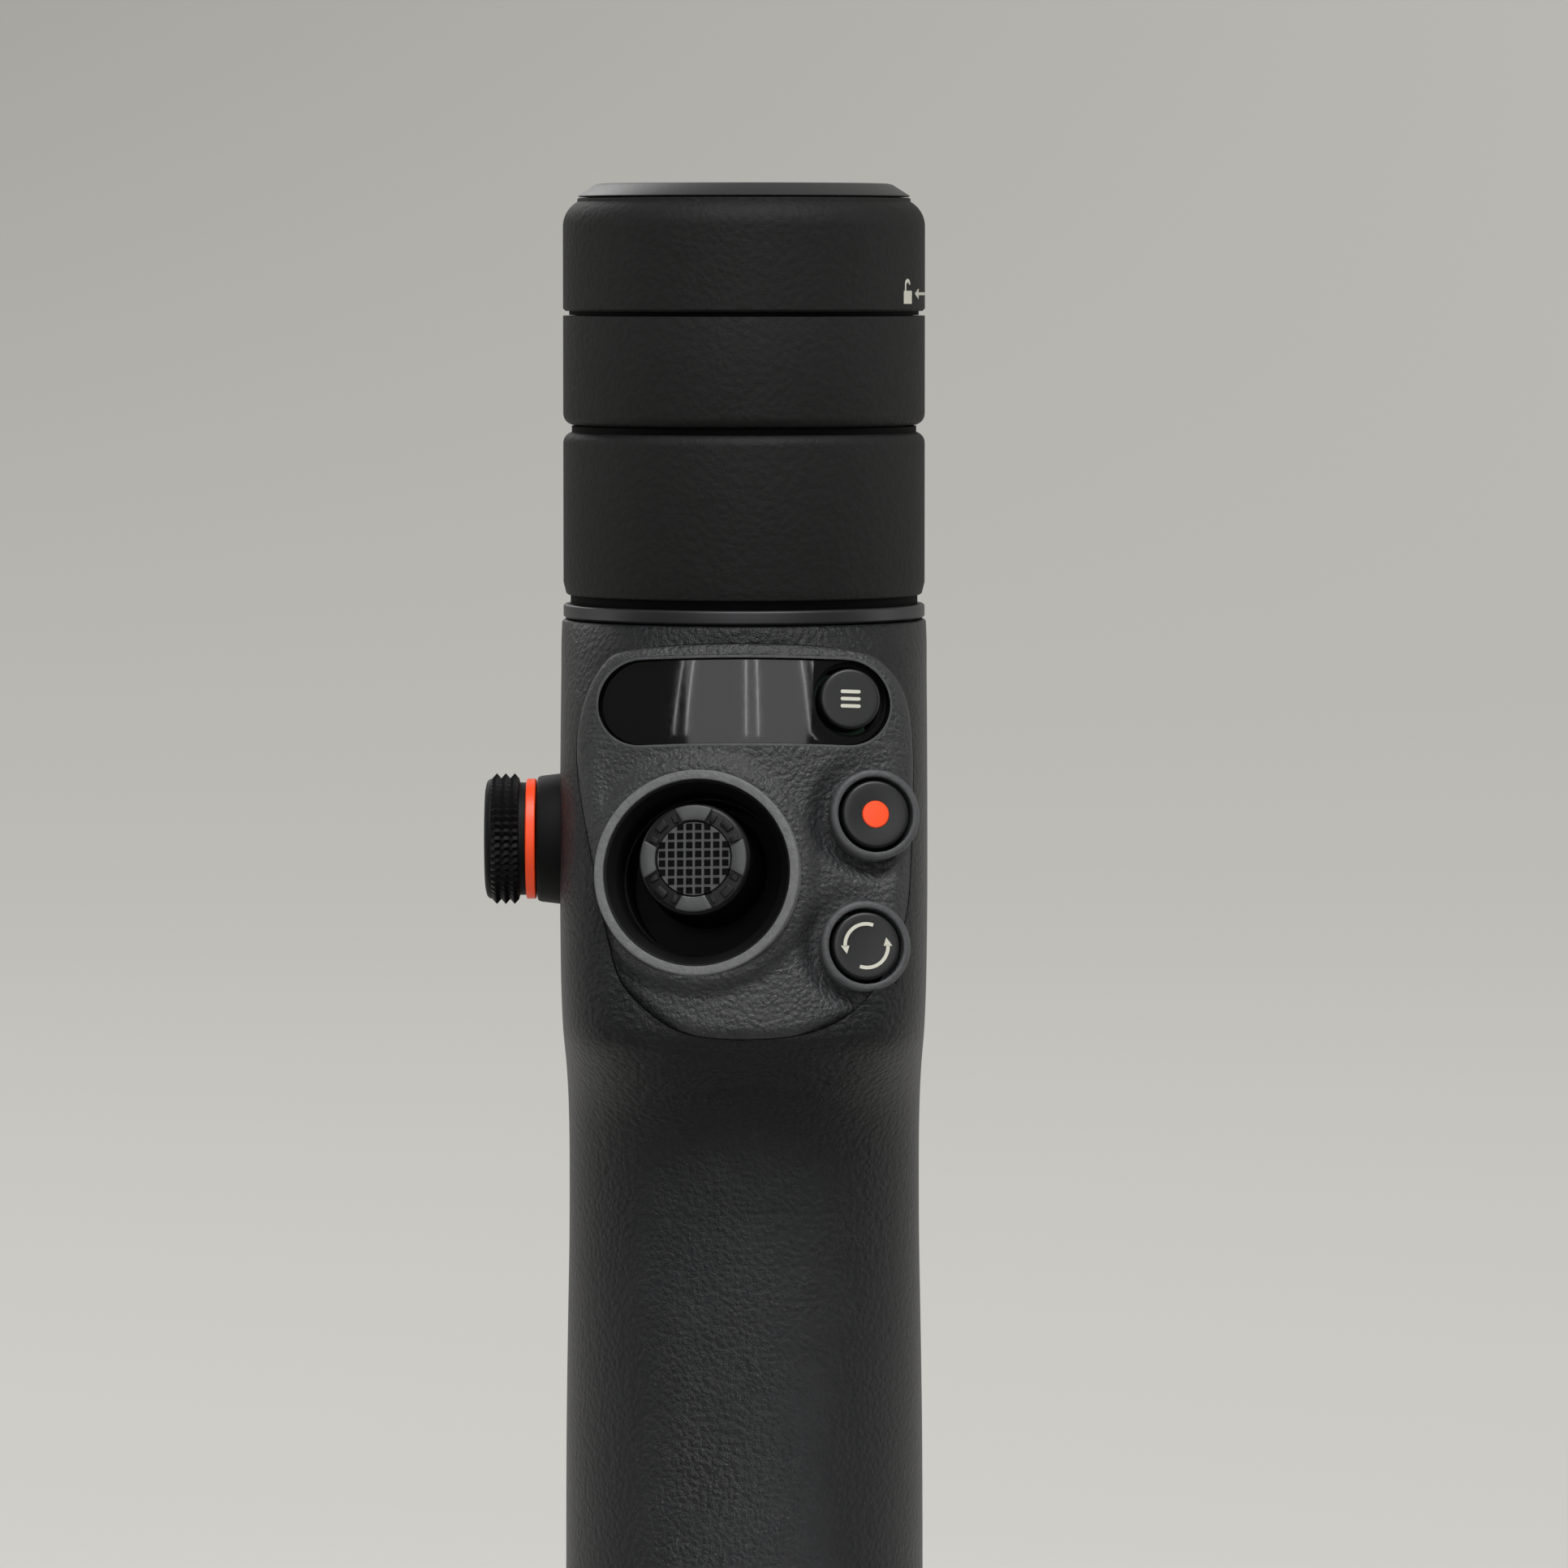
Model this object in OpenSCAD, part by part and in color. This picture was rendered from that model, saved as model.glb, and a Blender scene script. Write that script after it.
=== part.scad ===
// Folding three-axis smartphone gimbal with a telescopic rod, stored folded.
// X points right, Y away from the user, Z up. The origin is the mouth of the base thread.
// The arm and the two outer motors hang behind the handle when folded.

/* [Handle] */
// Height of the handle casing
handle_h = 144.4; // [139:1:150]
// Width of the handle casing at its top
handle_w = 38.4; // [38:0.1:39]
// Wall thickness of the two casing halves
shell_wall = 1.8; // [1.6:0.1:2]
// Height of the base cap
base_cap_h = 3; // [2.5:0.5:4]
// Width of the casing's rim round the base cap
base_rim = 2.45; // [2:0.05:3]
// Radius of the base thread, a quarter inch across
thread_r = 3.175; // [3:0.025:3.3]
// Depth of the base thread
thread_depth = 7.5; // [6:0.5:8]
// Radius of the metal insert round the base thread
insert_r = 6; // [5.5:0.1:7]

/* [Control panel] */
// Lean of the control face from the vertical, in degrees
face_tilt = 11.5; // [11:0.5:12]
// Radius of the control face from side to side
panel_r = 34; // [33:1:36]
// Distance from the casing's side to the panel's side
panel_edge = 1.7; // [1.6:0.1:1.9]
// Height of the control panel
panel_h = 39.6; // [39:0.1:40.5]
// Drop of the panel's upper edge below the top of the handle
panel_top_drop = 1.95; // [1.75:0.05:2.3]
// Thickness of the panel's front wall
panel_wall = 2.2; // [2:0.1:2.4]
// How far the panel stands out of the casing
panel_proud = 0.9; // [0.6:0.1:1.2]

/* [Display] */
// Distance from the panel's side to the display recess
recess_side = 2.15; // [2:0.05:2.3]
// Height of the display recess
recess_h = 9.5; // [9.3:0.1:9.7]
// Width of the recess that shows round the lens
lens_rim = 0.45; // [0.4:0.05:0.6]
// Drop of the display's middle below the top of the handle
display_drop = 7.4; // [7.2:0.1:7.6]

/* [Joystick] */
// Sideways place of the joystick
stick_x = -4.65; // [-4.9:0.05:-4.4]
// Drop of the joystick ring's middle below the top of the handle
stick_drop = 24.95; // [24.6:0.05:25.3]
// Outer radius of the joystick ring
ring_r = 10.6; // [10.4:0.1:10.8]
// Radius of the joystick cap
cap_r = 5.75; // [5.5:0.05:5.9]
// How far the joystick's pivot sits above the middle of its ring
stick_lift = 1.2; // [0:0.1:1.3]

/* [Buttons] */
// Radius of the record and flip button caps
button_r = 3.5; // [3.3:0.1:3.6]
// Radius of the mode button cap
mode_r = 3.15; // [3:0.05:3.3]
// Outer radius of a button collar
collar_r = 4.8; // [4.6:0.1:5]
// Travel of a button
button_travel = 0.5; // [0.3:0.1:0.6]
// Radius of the orange dot on the record button
dot_r = 1.42; // [1.2:0.02:1.6]

/* [Side wheel] */
// Radius of the wheel over its knurl
wheel_r = 6.86; // [6.5:0.02:6.9]
// Drop of the wheel's axle below the top of the handle
wheel_drop = 22.9; // [22:0.1:24]
// Number of knurl ridges round the wheel
knurl_n = 52; // [40:1:60]

/* [Trigger] */
// Width of the trigger
trigger_w = 9; // [8:0.5:10]
// Drop of the trigger's pivot below the top of the handle
trigger_pivot_drop = 18.4; // [17:0.2:20]

/* [Telescopic rod] */
// Outer radius of the fixed sleeve
sleeve_r = 8.5; // [8.3:0.1:8.7]
// Outer radius of the middle tube
middle_r = 7.5; // [7.3:0.1:7.6]
// Outer radius of the inner tube
inner_r = 6.2; // [6:0.1:6.3]

/* [Motors] */
// Radius of the stacked pan housings
puck_r = 19; // [18.8:0.1:19.2]
// Radius of the roll motor
roll_r = 17; // [16.5:0.1:17.2]
// Radius of the tilt motor
tilt_r = 12.5; // [12:0.1:13]
// Radius of the pan shaft
pan_shaft_r = 2.95; // [2.6:0.05:3]
// Radius of the roll and tilt shafts
small_shaft_r = 2.5; // [2.2:0.1:2.6]

/* [Folding arm] */
// Distance between the two fold pins of the arm
arm_l = 92.2; // [90:0.1:94]
// Half the thickness of the arm
arm_half_t = 5; // [4.8:0.1:5.2]
// Half the width of the arm
arm_half_w = 12; // [11:0.5:12.5]
// Distance of the fold pins behind the pan axis
pin_y = 37; // [36.5:0.1:38]
// Radius of the two fold pins
pin_r = 2; // [1.8:0.1:2.2]

/* [Hidden] */
$fn = 64;
over = 1;
slip = 0.05;
hair = 0.1;
gap = 0.3;

// Heights of the pan stack, counted from the top of the handle
ring_gap = 0.15;
ring_h = 1.6;
neck_h = 0.8;
housing_h = 17.1;
groove_h = 0.7;
rotor_h = 11.45;
lock_gap = 0.5;
lock_h = 11.8;
lock_cap_h = 1.4;
ring_z = handle_h + ring_gap;
neck_z = ring_z + ring_h;
housing_z = neck_z + neck_h;
rotor_z = housing_z + housing_h + groove_h;
rotor_top = rotor_z + rotor_h;
lock_z = rotor_top + lock_gap;
lock_top = lock_z + lock_h;
cap_z = lock_top + hair;
neck_inset = 2;
neck_r = puck_r - neck_inset;

// The grip below the head: height, half width, depth in front and depth behind as shares of its
// height and of the casing's half width, and the squareness of the section
grip_shares = [
    [0.000, 0.940, 0.940, 0.940, 2.2],
    [0.006, 0.965, 0.970, 0.970, 2.2],
    [0.019, 0.980, 0.985, 0.990, 2.2],
    [0.235, 0.985, 1.010, 1.030, 2.3],
    [0.471, 0.985, 1.055, 1.045, 2.3],
    [0.659, 0.980, 1.075, 1.040, 2.3],
    [0.785, 0.970, 1.055, 1.035, 2.4],
    [0.863, 0.963, 1.015, 1.035, 2.5],
    [0.926, 0.961, 0.995, 1.030, 2.6],
    [1.000, 0.962, 1.025, 1.030, 2.8]];

// The head behind the controls: height as a share of its own, half width as a share, how far the
// front stays behind the control face, depth behind as a share, and the squareness
head_h = 52.9;
head_shares = [
    [0.064, 0.966, 8.00, 1.030, 3.0],
    [0.127, 0.973, 4.70, 1.030, 3.5],
    [0.170, 0.980, 2.10, 1.030, 4.0],
    [0.198, 0.984, 0.75, 1.030, 4.4],
    [0.225, 0.987, 0.15, 1.030, 4.6],
    [0.257, 0.990, 0.00, 1.030, 4.8],
    [0.406, 0.998, 0.00, 1.030, 4.8],
    [0.578, 1.000, 0.00, 1.030, 4.7],
    [0.715, 1.000, 0.00, 1.020, 4.3],
    [0.822, 1.000, 0.00, 1.010, 3.6],
    [0.904, 1.000, 0.00, 1.004, 2.8],
    [0.964, 1.000, 0.00, 1.002, 2.3],
    [1.000, 0.996, 0.00, 1.000, 2.0]];
section_n = 56;
half_w = handle_w / 2;
top_wall = 1.8;
base_cap_r = grip_shares[0][1] * half_w - base_rim;

// The panel's outline, clockwise from its lower left, as shares of its half width and height
panel_shares = [
    [-0.28, 0.004], [-0.47, 0.041], [-0.67, 0.115], [-0.75, 0.180], [-0.81, 0.300],
    [-0.87, 0.430], [-0.93, 0.560], [-0.98, 0.690], [-0.98, 0.780], [-0.96, 0.850],
    [-0.88, 0.935], [-0.77, 0.978], [-0.61, 0.998], [0.55, 0.998], [0.77, 0.978],
    [0.91, 0.930], [0.98, 0.860], [1.00, 0.760], [1.00, 0.620], [0.98, 0.400],
    [0.955, 0.306], [0.85, 0.190], [0.705, 0.087], [0.447, 0.018], [0.117, 0.000]];
panel_depth = 6.5;
panel_half_w = half_w - panel_edge;
panel_mid_z = handle_h - panel_top_drop - panel_h / 2;
panel_side = 1.5;
panel_gap = 0.12;
display_z = handle_h - display_drop;
recess_l = 2 * (panel_half_w - recess_side);
lens_l = recess_l - 4 * lens_rim + hair;
lens_h = recess_h - 2 * lens_rim;
lens_t = 1;
lens_seat = 1.5;
lens_x = 0.1;
screen_shift = 3;
window_l = 17;
window_h = 5.6;
screen_l = 12;
screen_h = 5;
screen_depth = 3.2;
board_depth = 6.2;
board_half_l = 12.5;
board_half_h = 3.5;

// The joystick, along its own axis from the panel's face
stick_z = handle_h - stick_drop;
stick_yaw = asin(stick_x / panel_r);
bezel_crest = 0.9;
bezel_seat = 2;
bezel_depth = 5.2;
bezel_tube_r = 10.1;
pivot_depth = 6.5;
dome_r = 6.2;
dome_wall = 0.8;
stick_base_r = 9.4;
stick_base_depth = 13;
cross_half = 1.2;
cross_pin_r = 0.8;
ear_in = 3.6;
ear_out = 4.6;
ear_half = 1.3;
fork_in = 2.4;
fork_out = 3.6;
cap_crest = 2.9;
cap_h = 2.6;
cap_round = 0.4;
cap_dish_r = 4;
cap_dish = 0.5;
stem_r = 2.2;
crest_w = 0.9;
crest_round = 0.25;
funnel_r = 8;
funnel_depth = 2.2;
stick_floor = 1.5;
stick_wall = 1.2;
dome_cut = 1;

// The buttons
button_edge = 4.55;
button_x = panel_half_w - button_edge;
button_side = 0.5;
button_yaw = 12;
button_drop = 25.9;
button_mid_z = handle_h - button_drop;
button_rise = 6.8;
collar_crest = 0.9;
button_crest = 0.9;
button_gap = 0.4;
button_skirt = 2.6;
button_stem_r = 1.4;
button_depth = 4.6;
button_round = 0.4;
switch_gap = button_travel + hair;
switch_half = 1.6;
board_t = 1;
mode_edge = 6.5;
mode_x = panel_half_w - mode_edge;
mode_crest = 0.2;
dot_h = 0.5;
dot_proud = 0.05;
mode_switch_h = 0.75;
button_board_l = 4.4;
button_board_r = 2.4;
button_board_half_h = 11.5;

// The side wheel, along X from the casing's side
wheel_y = -5;
wheel_seat = 0.6;
wheel_base_r = 6.96;
wheel_base_tip_r = 6.55;
wheel_base_h = 3;
wheel_hub_r = 4;
wheel_hub_l = 6;
wheel_axle_r = 1.5;
wheel_axle_l = 6;
accent_gap = 0.15;
accent_h = 1;
accent_r = 6.3;
wheel_neck_h = 0.8;
wheel_neck_in = 0.4;
knurl_h = 2.8;
knurl_depth = 0.52;
wheel_face_h = 0.7;
wheel_x = half_w - wheel_seat;
scoop_r = 7.3;
wheel_z = handle_h - wheel_drop;
accent_z = wheel_base_h + accent_gap;
neck_low = accent_z + accent_h;
knurl_low = neck_low + wheel_neck_h;
wheel_face_low = knurl_low + knurl_h;

// The trigger
trigger_inset = 3;
trigger_y = half_w - trigger_inset;
trigger_z = handle_h - trigger_pivot_drop;
trigger_drop = 18.5;
trigger_reach = 10.4;
trigger_pin_r = 1.2;
trigger_eye_r = 2.4;
trigger_gap = 0.5;
trigger_ear_t = 2;
trigger_ear_l = 4.6;
trigger_shares = [
    [-0.20, 0.00], [0.00, 0.12], [0.24, 0.10], [0.46, -0.03], [0.72, -0.30], [0.88, -0.62],
    [0.98, -0.92], [0.90, -0.99], [0.60, -0.93], [0.34, -0.86], [0.20, -0.55], [0.06, -0.20]];

// The side button and the charging inlet
power_y = 5;
power_z = 0.54 * handle_h;
power_r = 3.2;
power_inset = 0.8;
power_x = half_w - power_inset;
power_l = 3;
power_switch_half = 2;
port_y = 4;
port_z = handle_h / 3;
port_w = 9;
port_t = 3.3;
port_wall = 0.4;
port_l = 7;
port_inset = 0.7;

// Inside the handle
board_gap = 0.5;
board_side = 8.2;
cell_back = 13.2;
board_y = sleeve_r + board_gap;
main_board_w = handle_w - 2 * board_side;
main_board_h = 0.43 * handle_h;
main_board_z = handle_h / 6;
cell_w = 0.47 * handle_w;
cell_t = half_w - cell_back;
cell_h = 0.44 * handle_h;
cell_z = 0.15 * handle_h;
insert_h = 9.5;
rod_floor = 2;
rod_wall = 1.3;
rod_plug = 10;
screw_r = 1;
screw_head_r = 1.9;
screw_head_h = 1.4;
screw_l = 10;
screw_inset = 5.3;
screw_x = half_w - screw_inset;
boss_r = 2.7;
screw_low_z = 0.22 * handle_h;
screw_high_z = 0.637 * handle_h;
screw_head_y = 6;

// The pan motor
puck_wall = 1.6;
puck_round = 1.2;
puck_chamfer = 0.3;
puck_chamfer_h = 1.3;
pan_board_rim = 4;
pan_board_r = puck_r - pan_board_rim;
post_r = 6.9;
post_bore_r = 5.6;
post_top = 5.6;
rotor_wall = 3;
rotor_top_wall = 2.5;
rotor_boss_h = 2.2;
magnet_inset = 0.45;
pan_shaft_grip = 16;
slot_w = 1.4;
spigot_h = 2.8;
spigot_gap = 0.4;
magnet_t = 2.5;
coil_gap = 0.6;
magnet_r_out = puck_r - rotor_wall - magnet_inset - slip;
magnet_in_r = magnet_r_out - magnet_t;
coil_r = magnet_in_r - coil_gap;
coil_h = 9;
bearing_h = 3;
lug_half_w = 6;
lug_r = 5.6;
hub_r = 6;
lock_round = 3;
lock_cap_inset = 1.55;
lock_cap_slope = 2.1;
lock_cap_low_r = puck_r - lock_cap_inset;
lock_cap_top_r = lock_cap_low_r - lock_cap_slope;

// The folding arm
slot_gap = 0.4;
slot_reach = 6.6;
shoulder_z = rotor_z + rotor_h / 2;
elbow_z = shoulder_z - arm_l;
arm_window_half_w = 9;
arm_cover_t = 1.5;
arm_channel = 6;
arm_channel_end = 14;

// The roll motor
roll_offset = 12;
roll_y = pin_y + roll_offset;
roll_drop = 11.2;
roll_h = 16.5;
roll_top = elbow_z - roll_drop;
roll_low = roll_top - roll_h;
motor_gap = 0.4;
roll_disc_h = 4.5;
roll_disc_top = roll_low - motor_gap;
roll_disc_low = roll_disc_top - roll_disc_h;
small_wall = 1.8;
small_post_r = 5.6;
small_post_bore_r = 4.6;
small_coil_r = 11;
small_magnet_in_r = 11.6;
small_magnet_r = 14.4;
small_coil_h = 8;
small_bearing_h = 3;
roll_post_gap = 2;

// The tilt motor and the plate that holds the phone clamp
tilt_drop = 18.4;
tilt_z = roll_disc_low - tilt_drop;
leg_out = 16.8;
leg_t = 2.8;
leg_half_w = 8;
tilt_housing_l = 8.5;
tilt_housing_x = leg_out - leg_t;
tilt_rotor_x = tilt_housing_x - tilt_housing_l - motor_gap;
tilt_rotor_l = 18;
plate_r = 12.5;
plate_t = 3;
plate_reach = 17;
plate_block_half = 6;
leg_brace = 15.5;
tilt_hollow_r = 10.5;
tilt_hollow_l = 11;
tilt_coil_r = 9.8;
tilt_coil_h = 5;
tilt_post_r = 5;
tilt_post_bore_r = 4;
plate_skin = 1;
magnet_r = 2.2;
magnet_place_r = 8;

charcoal = [0.17, 0.175, 0.19];
puck_grey = [0.21, 0.21, 0.21];
panel_grey = [0.27, 0.275, 0.29];
ring_grey = [0.35, 0.35, 0.36];
black = [0.05, 0.05, 0.055];
orange = [1, 0.36, 0.12];
steel = [0.72, 0.73, 0.75];
copper = [0.72, 0.43, 0.24];
board_green = [0.08, 0.3, 0.18];

// Depth of the casing's front at a height in the head, and of the control face before it
function front_depth(z) = half_w + (handle_h - z) * tan(face_tilt);
function face_y(z) = -(front_depth(z) + panel_proud);

// Fall of the curved face beside its middle line
function face_drop(x) = panel_r - sqrt(panel_r * panel_r - x * x);

// A point of a closed smooth curve through the points p
function curve_point(p, i, t) =
    let (n = len(p))
    let (a = p[(i + n - 1) % n], b = p[i], c = p[(i + 1) % n], d = p[(i + 2) % n])
    0.5 * (2 * b + (c - a) * t + (2 * a - 5 * b + 4 * c - d) * t * t
           + (3 * b - 3 * c + d - a) * t * t * t);

function smooth_loop(p, steps) =
    [for (i = [0:len(p) - 1]) for (k = [0:steps - 1]) curve_point(p, i, k / steps)];

// The panel's outline in its own plane, drawn in by an inset
function panel_outline(inset) =
    let (sx = panel_half_w - inset, sy = panel_h / cos(face_tilt) - 2 * inset)
    [for (p = smooth_loop(panel_shares, 2)) [p[0] * sx, (p[1] - 0.5) * sy]];

// The casing's sections: height, half width, depth in front, depth behind and squareness
casing_rows = concat(
    [for (r = grip_shares)
         [r[0] * (handle_h - head_h), r[1] * half_w, r[2] * half_w, r[3] * half_w, r[4]]],
    [for (r = head_shares) let (z = handle_h - (1 - r[0]) * head_h)
         [z, r[1] * half_w, front_depth(z) - r[2], r[3] * half_w, r[4]]]);

// One point of a casing section, square to the height
function section_point(row, a, inset) =
    let (w = row[1] - inset, depth = (sin(a) < 0 ? row[2] : row[3]) - inset)
    let (e = 2 / row[4])
    [w * sign(cos(a)) * pow(abs(cos(a)), e), depth * sign(sin(a)) * pow(abs(sin(a)), e)];

// A quarter round from angle a0 to angle a1
function arc(cx, cy, r, a0, a1) =
    [for (k = [0:6]) [cx + r * cos(a0 + (a1 - a0) * k / 6), cy + r * sin(a0 + (a1 - a0) * k / 6)]];

// Puts its children on the control face: Z out of the face and Y up along it
module on_panel(x, z, yaw) {
    lift = face_drop(x) * sin(face_tilt);
    translate([x, face_y(z + lift), z + lift])
        rotate([90 - face_tilt, 0, 0])
            translate([0, 0, -face_drop(x)])
                rotate([0, yaw, 0])
                    children();
}

module on_stick() {
    on_panel(stick_x, stick_z, stick_yaw) children();
}

module on_pivot() {
    on_stick() translate([0, stick_lift, -pivot_depth]) children();
}

module on_buttons() {
    on_panel(button_x, button_mid_z, button_yaw) children();
}

module on_record() {
    on_buttons() translate([button_side, button_rise, 0]) children();
}

module on_flip() {
    on_buttons() translate([-button_side, -button_rise, 0]) children();
}

module on_mode() {
    on_panel(mode_x, display_z, button_yaw) children();
}

// Lays the Z axis along +X
module along_x() {
    rotate([90, 0, 90]) children();
}

module tube(r_out, r_in, h) {
    difference() {
        cylinder(r = r_out, h = h);
        translate([0, 0, -over]) cylinder(r = r_in, h = h + 2 * over);
    }
}

// A cylinder lying on X, centred
module x_bar(r, half_l) {
    along_x() translate([0, 0, -half_l]) cylinder(r = r, h = 2 * half_l);
}

module stadium(l, w, h) {
    linear_extrude(h) {
        square([l - w, w], center = true);
        translate([(l - w) / 2, 0]) circle(d = w);
        translate([(w - l) / 2, 0]) circle(d = w);
    }
}

// The casing as a solid, drawn in sideways by an inset
module casing(inset) {
    n = section_n;
    last = len(casing_rows) - 1;
    points = [for (r = casing_rows) for (k = [0:n - 1])
                  let (q = section_point(r, k * 360 / n, inset)) [q[0], q[1], r[0]]];
    low_sides = [for (i = [0:last - 1]) for (k = [0:n - 1])
                     let (a = i * n + k, b = i * n + (k + 1) % n) [a, a + n, b]];
    high_sides = [for (i = [0:last - 1]) for (k = [0:n - 1])
                      let (a = i * n + k, b = i * n + (k + 1) % n) [b, a + n, b + n]];
    floor_face = [for (k = [0:n - 1]) k];
    top_face = [for (k = [n - 1:-1:0]) last * n + k];
    polyhedron(points, concat([floor_face], low_sides, high_sides, [top_face]));
}

// Half of space: the front half where side is -1, the rear half where it is 1
module half_space(side) {
    reach = 2 * handle_w;
    translate([-reach, side < 0 ? -2 * reach : 0, -over])
        cube([2 * reach, 2 * reach, handle_h + 2 * over]);
}

// The hollow of the casing
module casing_hollow() {
    reach = 2 * handle_w;
    intersection() {
        casing(shell_wall);
        translate([-reach, -reach, base_cap_h])
            cube([2 * reach, 2 * reach, handle_h - top_wall - base_cap_h]);
    }
}

// A screw boss that joins the halves, one for each of the four screws
module at_screws() {
    for (x = [-screw_x, screw_x])
        for (z = [screw_low_z, screw_high_z])
            translate([x, 0, z]) rotate([-90, 0, 0]) children();
}

// What both casing halves leave open
module casing_cuts() {
    translate([0, 0, handle_h - over - top_wall])
        cylinder(r = sleeve_r + slip, h = top_wall + 2 * over);
    translate([0, 0, -over]) cylinder(r = base_cap_r + hair, h = base_cap_h + 2 * over);
}

// The shallow scoop in the casing round the side wheel
module wheel_scoop() {
    on_wheel() cylinder(r = scoop_r, h = handle_w);
}

module casing_half(side) {
    intersection() {
        difference() {
            casing(0);
            casing_hollow();
            casing_cuts();
        }
        half_space(side);
    }
}

module handle_front_shell() {
    color(charcoal) difference() {
        union() {
            casing_half(-1);
            at_screws() translate([0, 0, -boss_r - screw_l / 2])
                cylinder(r = boss_r, h = boss_r + screw_l / 2);
        }
        at_screws() translate([0, 0, -screw_l / 2]) cylinder(r = screw_r, h = screw_l);
        on_panel(0, panel_mid_z, 0) translate([0, 0, -panel_depth - panel_gap])
            linear_extrude(2 * panel_depth) polygon(panel_outline(-panel_gap));
        on_stick() translate([0, 0, -bezel_seat - hair]) cylinder(r = ring_r + hair, h = panel_depth);
        wheel_scoop();
        translate([shell_wall + over - wheel_x, wheel_y, wheel_z]) rotate([0, -90, 0])
            cylinder(r = wheel_hub_r + slip, h = handle_w);
        on_record() translate([0, 0, -panel_depth - hair])
            cylinder(r = collar_r + hair, h = 2 * panel_depth);
        on_flip() translate([0, 0, -panel_depth - hair])
            cylinder(r = collar_r + hair, h = 2 * panel_depth);
    }
}

module handle_rear_shell() {
    color(charcoal) difference() {
        union() {
            casing_half(1);
            at_screws() cylinder(r = boss_r, h = screw_head_y);
            trigger_ears();
        }
        wheel_scoop();
        at_screws() translate([0, 0, -over]) cylinder(r = screw_r + slip, h = handle_w);
        at_screws() translate([0, 0, screw_l / 2 - slip])
            cylinder(r = screw_head_r + slip, h = handle_w);
        translate([-trigger_w / 2 - trigger_gap, trigger_y - trigger_eye_r,
                   trigger_z - trigger_drop - trigger_gap])
            cube([trigger_w + 2 * trigger_gap, handle_w, trigger_drop + trigger_eye_r + 2 * trigger_gap]);
        translate([0, trigger_y, trigger_z])
            x_bar(trigger_pin_r + slip, trigger_w / 2 + trigger_gap + trigger_ear_t - slip);
        translate([half_w - power_l - over, power_y, power_z]) rotate([0, 90, 0])
            cylinder(r = power_r + gap, h = handle_w);
        translate([half_w - port_l, port_y, port_z]) rotate([0, 90, 0])
            stadium(port_w + slip, port_t + slip, handle_w);
    }
}

// The base cap closes the foot of the casing
module base_cap() {
    color(charcoal) difference() {
        cylinder(r = base_cap_r, h = base_cap_h);
        translate([0, 0, -over]) cylinder(r = insert_r + slip, h = base_cap_h + 2 * over);
    }
}

// The control panel is a curved tray with two button collars and openings for every control
module panel_round(r) {
    translate([0, 0, -panel_r]) rotate([90, 0, 0]) cylinder(r = r, h = 2 * panel_h, center = true);
}

module panel_blank() {
    difference() {
        intersection() {
            translate([0, 0, -panel_depth]) linear_extrude(2 * panel_depth) polygon(panel_outline(0));
            panel_round(panel_r);
        }
        intersection() {
            translate([0, 0, -panel_depth - over])
                linear_extrude(2 * panel_depth) polygon(panel_outline(panel_side));
            panel_round(panel_r - panel_wall);
        }
    }
}

module collar() {
    translate([0, 0, -panel_depth])
        cylinder(r = collar_r, h = panel_depth + collar_crest - button_round);
    translate([0, 0, collar_crest - button_round])
        cylinder(r1 = collar_r, r2 = collar_r - button_round, h = button_round);
}

module at_display() {
    on_panel(0, display_z, 0) children();
}

module control_panel() {
    color(panel_grey) difference() {
        union() {
            on_panel(0, panel_mid_z, 0) panel_blank();
            on_record() collar();
            on_flip() collar();
        }
        on_record() translate([0, 0, -2 * panel_depth])
            cylinder(r = button_r + button_gap, h = 4 * panel_depth);
        on_flip() translate([0, 0, -2 * panel_depth])
            cylinder(r = button_r + button_gap, h = 4 * panel_depth);
        on_mode() translate([0, 0, -panel_depth])
            cylinder(r = mode_r + button_gap, h = 2 * panel_depth);
        on_stick() translate([0, 0, -bezel_seat]) cylinder(r = ring_r + slip, h = panel_depth);
        on_stick() translate([0, 0, -2 * panel_depth])
            cylinder(r = bezel_tube_r + slip, h = 2 * panel_depth);
        at_display() difference() {
            translate([lens_x, 0, -panel_depth]) stadium(recess_l, recess_h, 2 * panel_depth);
            panel_round(panel_r - lens_seat);
        }
        at_display() translate([lens_x - screen_shift, 0, -panel_depth])
            stadium(window_l, window_h, 2 * panel_depth);
    }
}

module display_lens() {
    color(black) difference() {
        at_display() intersection() {
            translate([lens_x, 0, -panel_depth]) stadium(lens_l, lens_h, 2 * panel_depth);
            difference() {
                panel_round(panel_r - lens_seat + lens_t);
                panel_round(panel_r - lens_seat + slip);
            }
        }
        on_mode() translate([0, 0, -panel_depth])
            cylinder(r = mode_r + 2 * button_gap, h = 2 * panel_depth);
    }
}

module display_board() {
    color(board_green) at_display() {
        translate([-board_half_l, -board_half_h, -board_depth - board_t])
            cube([2 * board_half_l, 2 * board_half_h, board_t]);
        translate([lens_x - screen_shift - screen_l / 2, -screen_h / 2, -board_depth])
            cube([screen_l, screen_h, board_depth - screen_depth]);
    }
}

// The joystick: a funnel ring, a cup, a cross and the cap with its dome
module joystick_bezel() {
    color(charcoal) on_stick() rotate_extrude() polygon([
        [ring_r, -bezel_seat], [ring_r, bezel_crest - crest_round],
        [ring_r - crest_round, bezel_crest], [ring_r - crest_w, bezel_crest],
        [funnel_r, -funnel_depth], [funnel_r, -bezel_depth],
        [bezel_tube_r, -bezel_depth], [bezel_tube_r, -bezel_seat]]);
}

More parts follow.
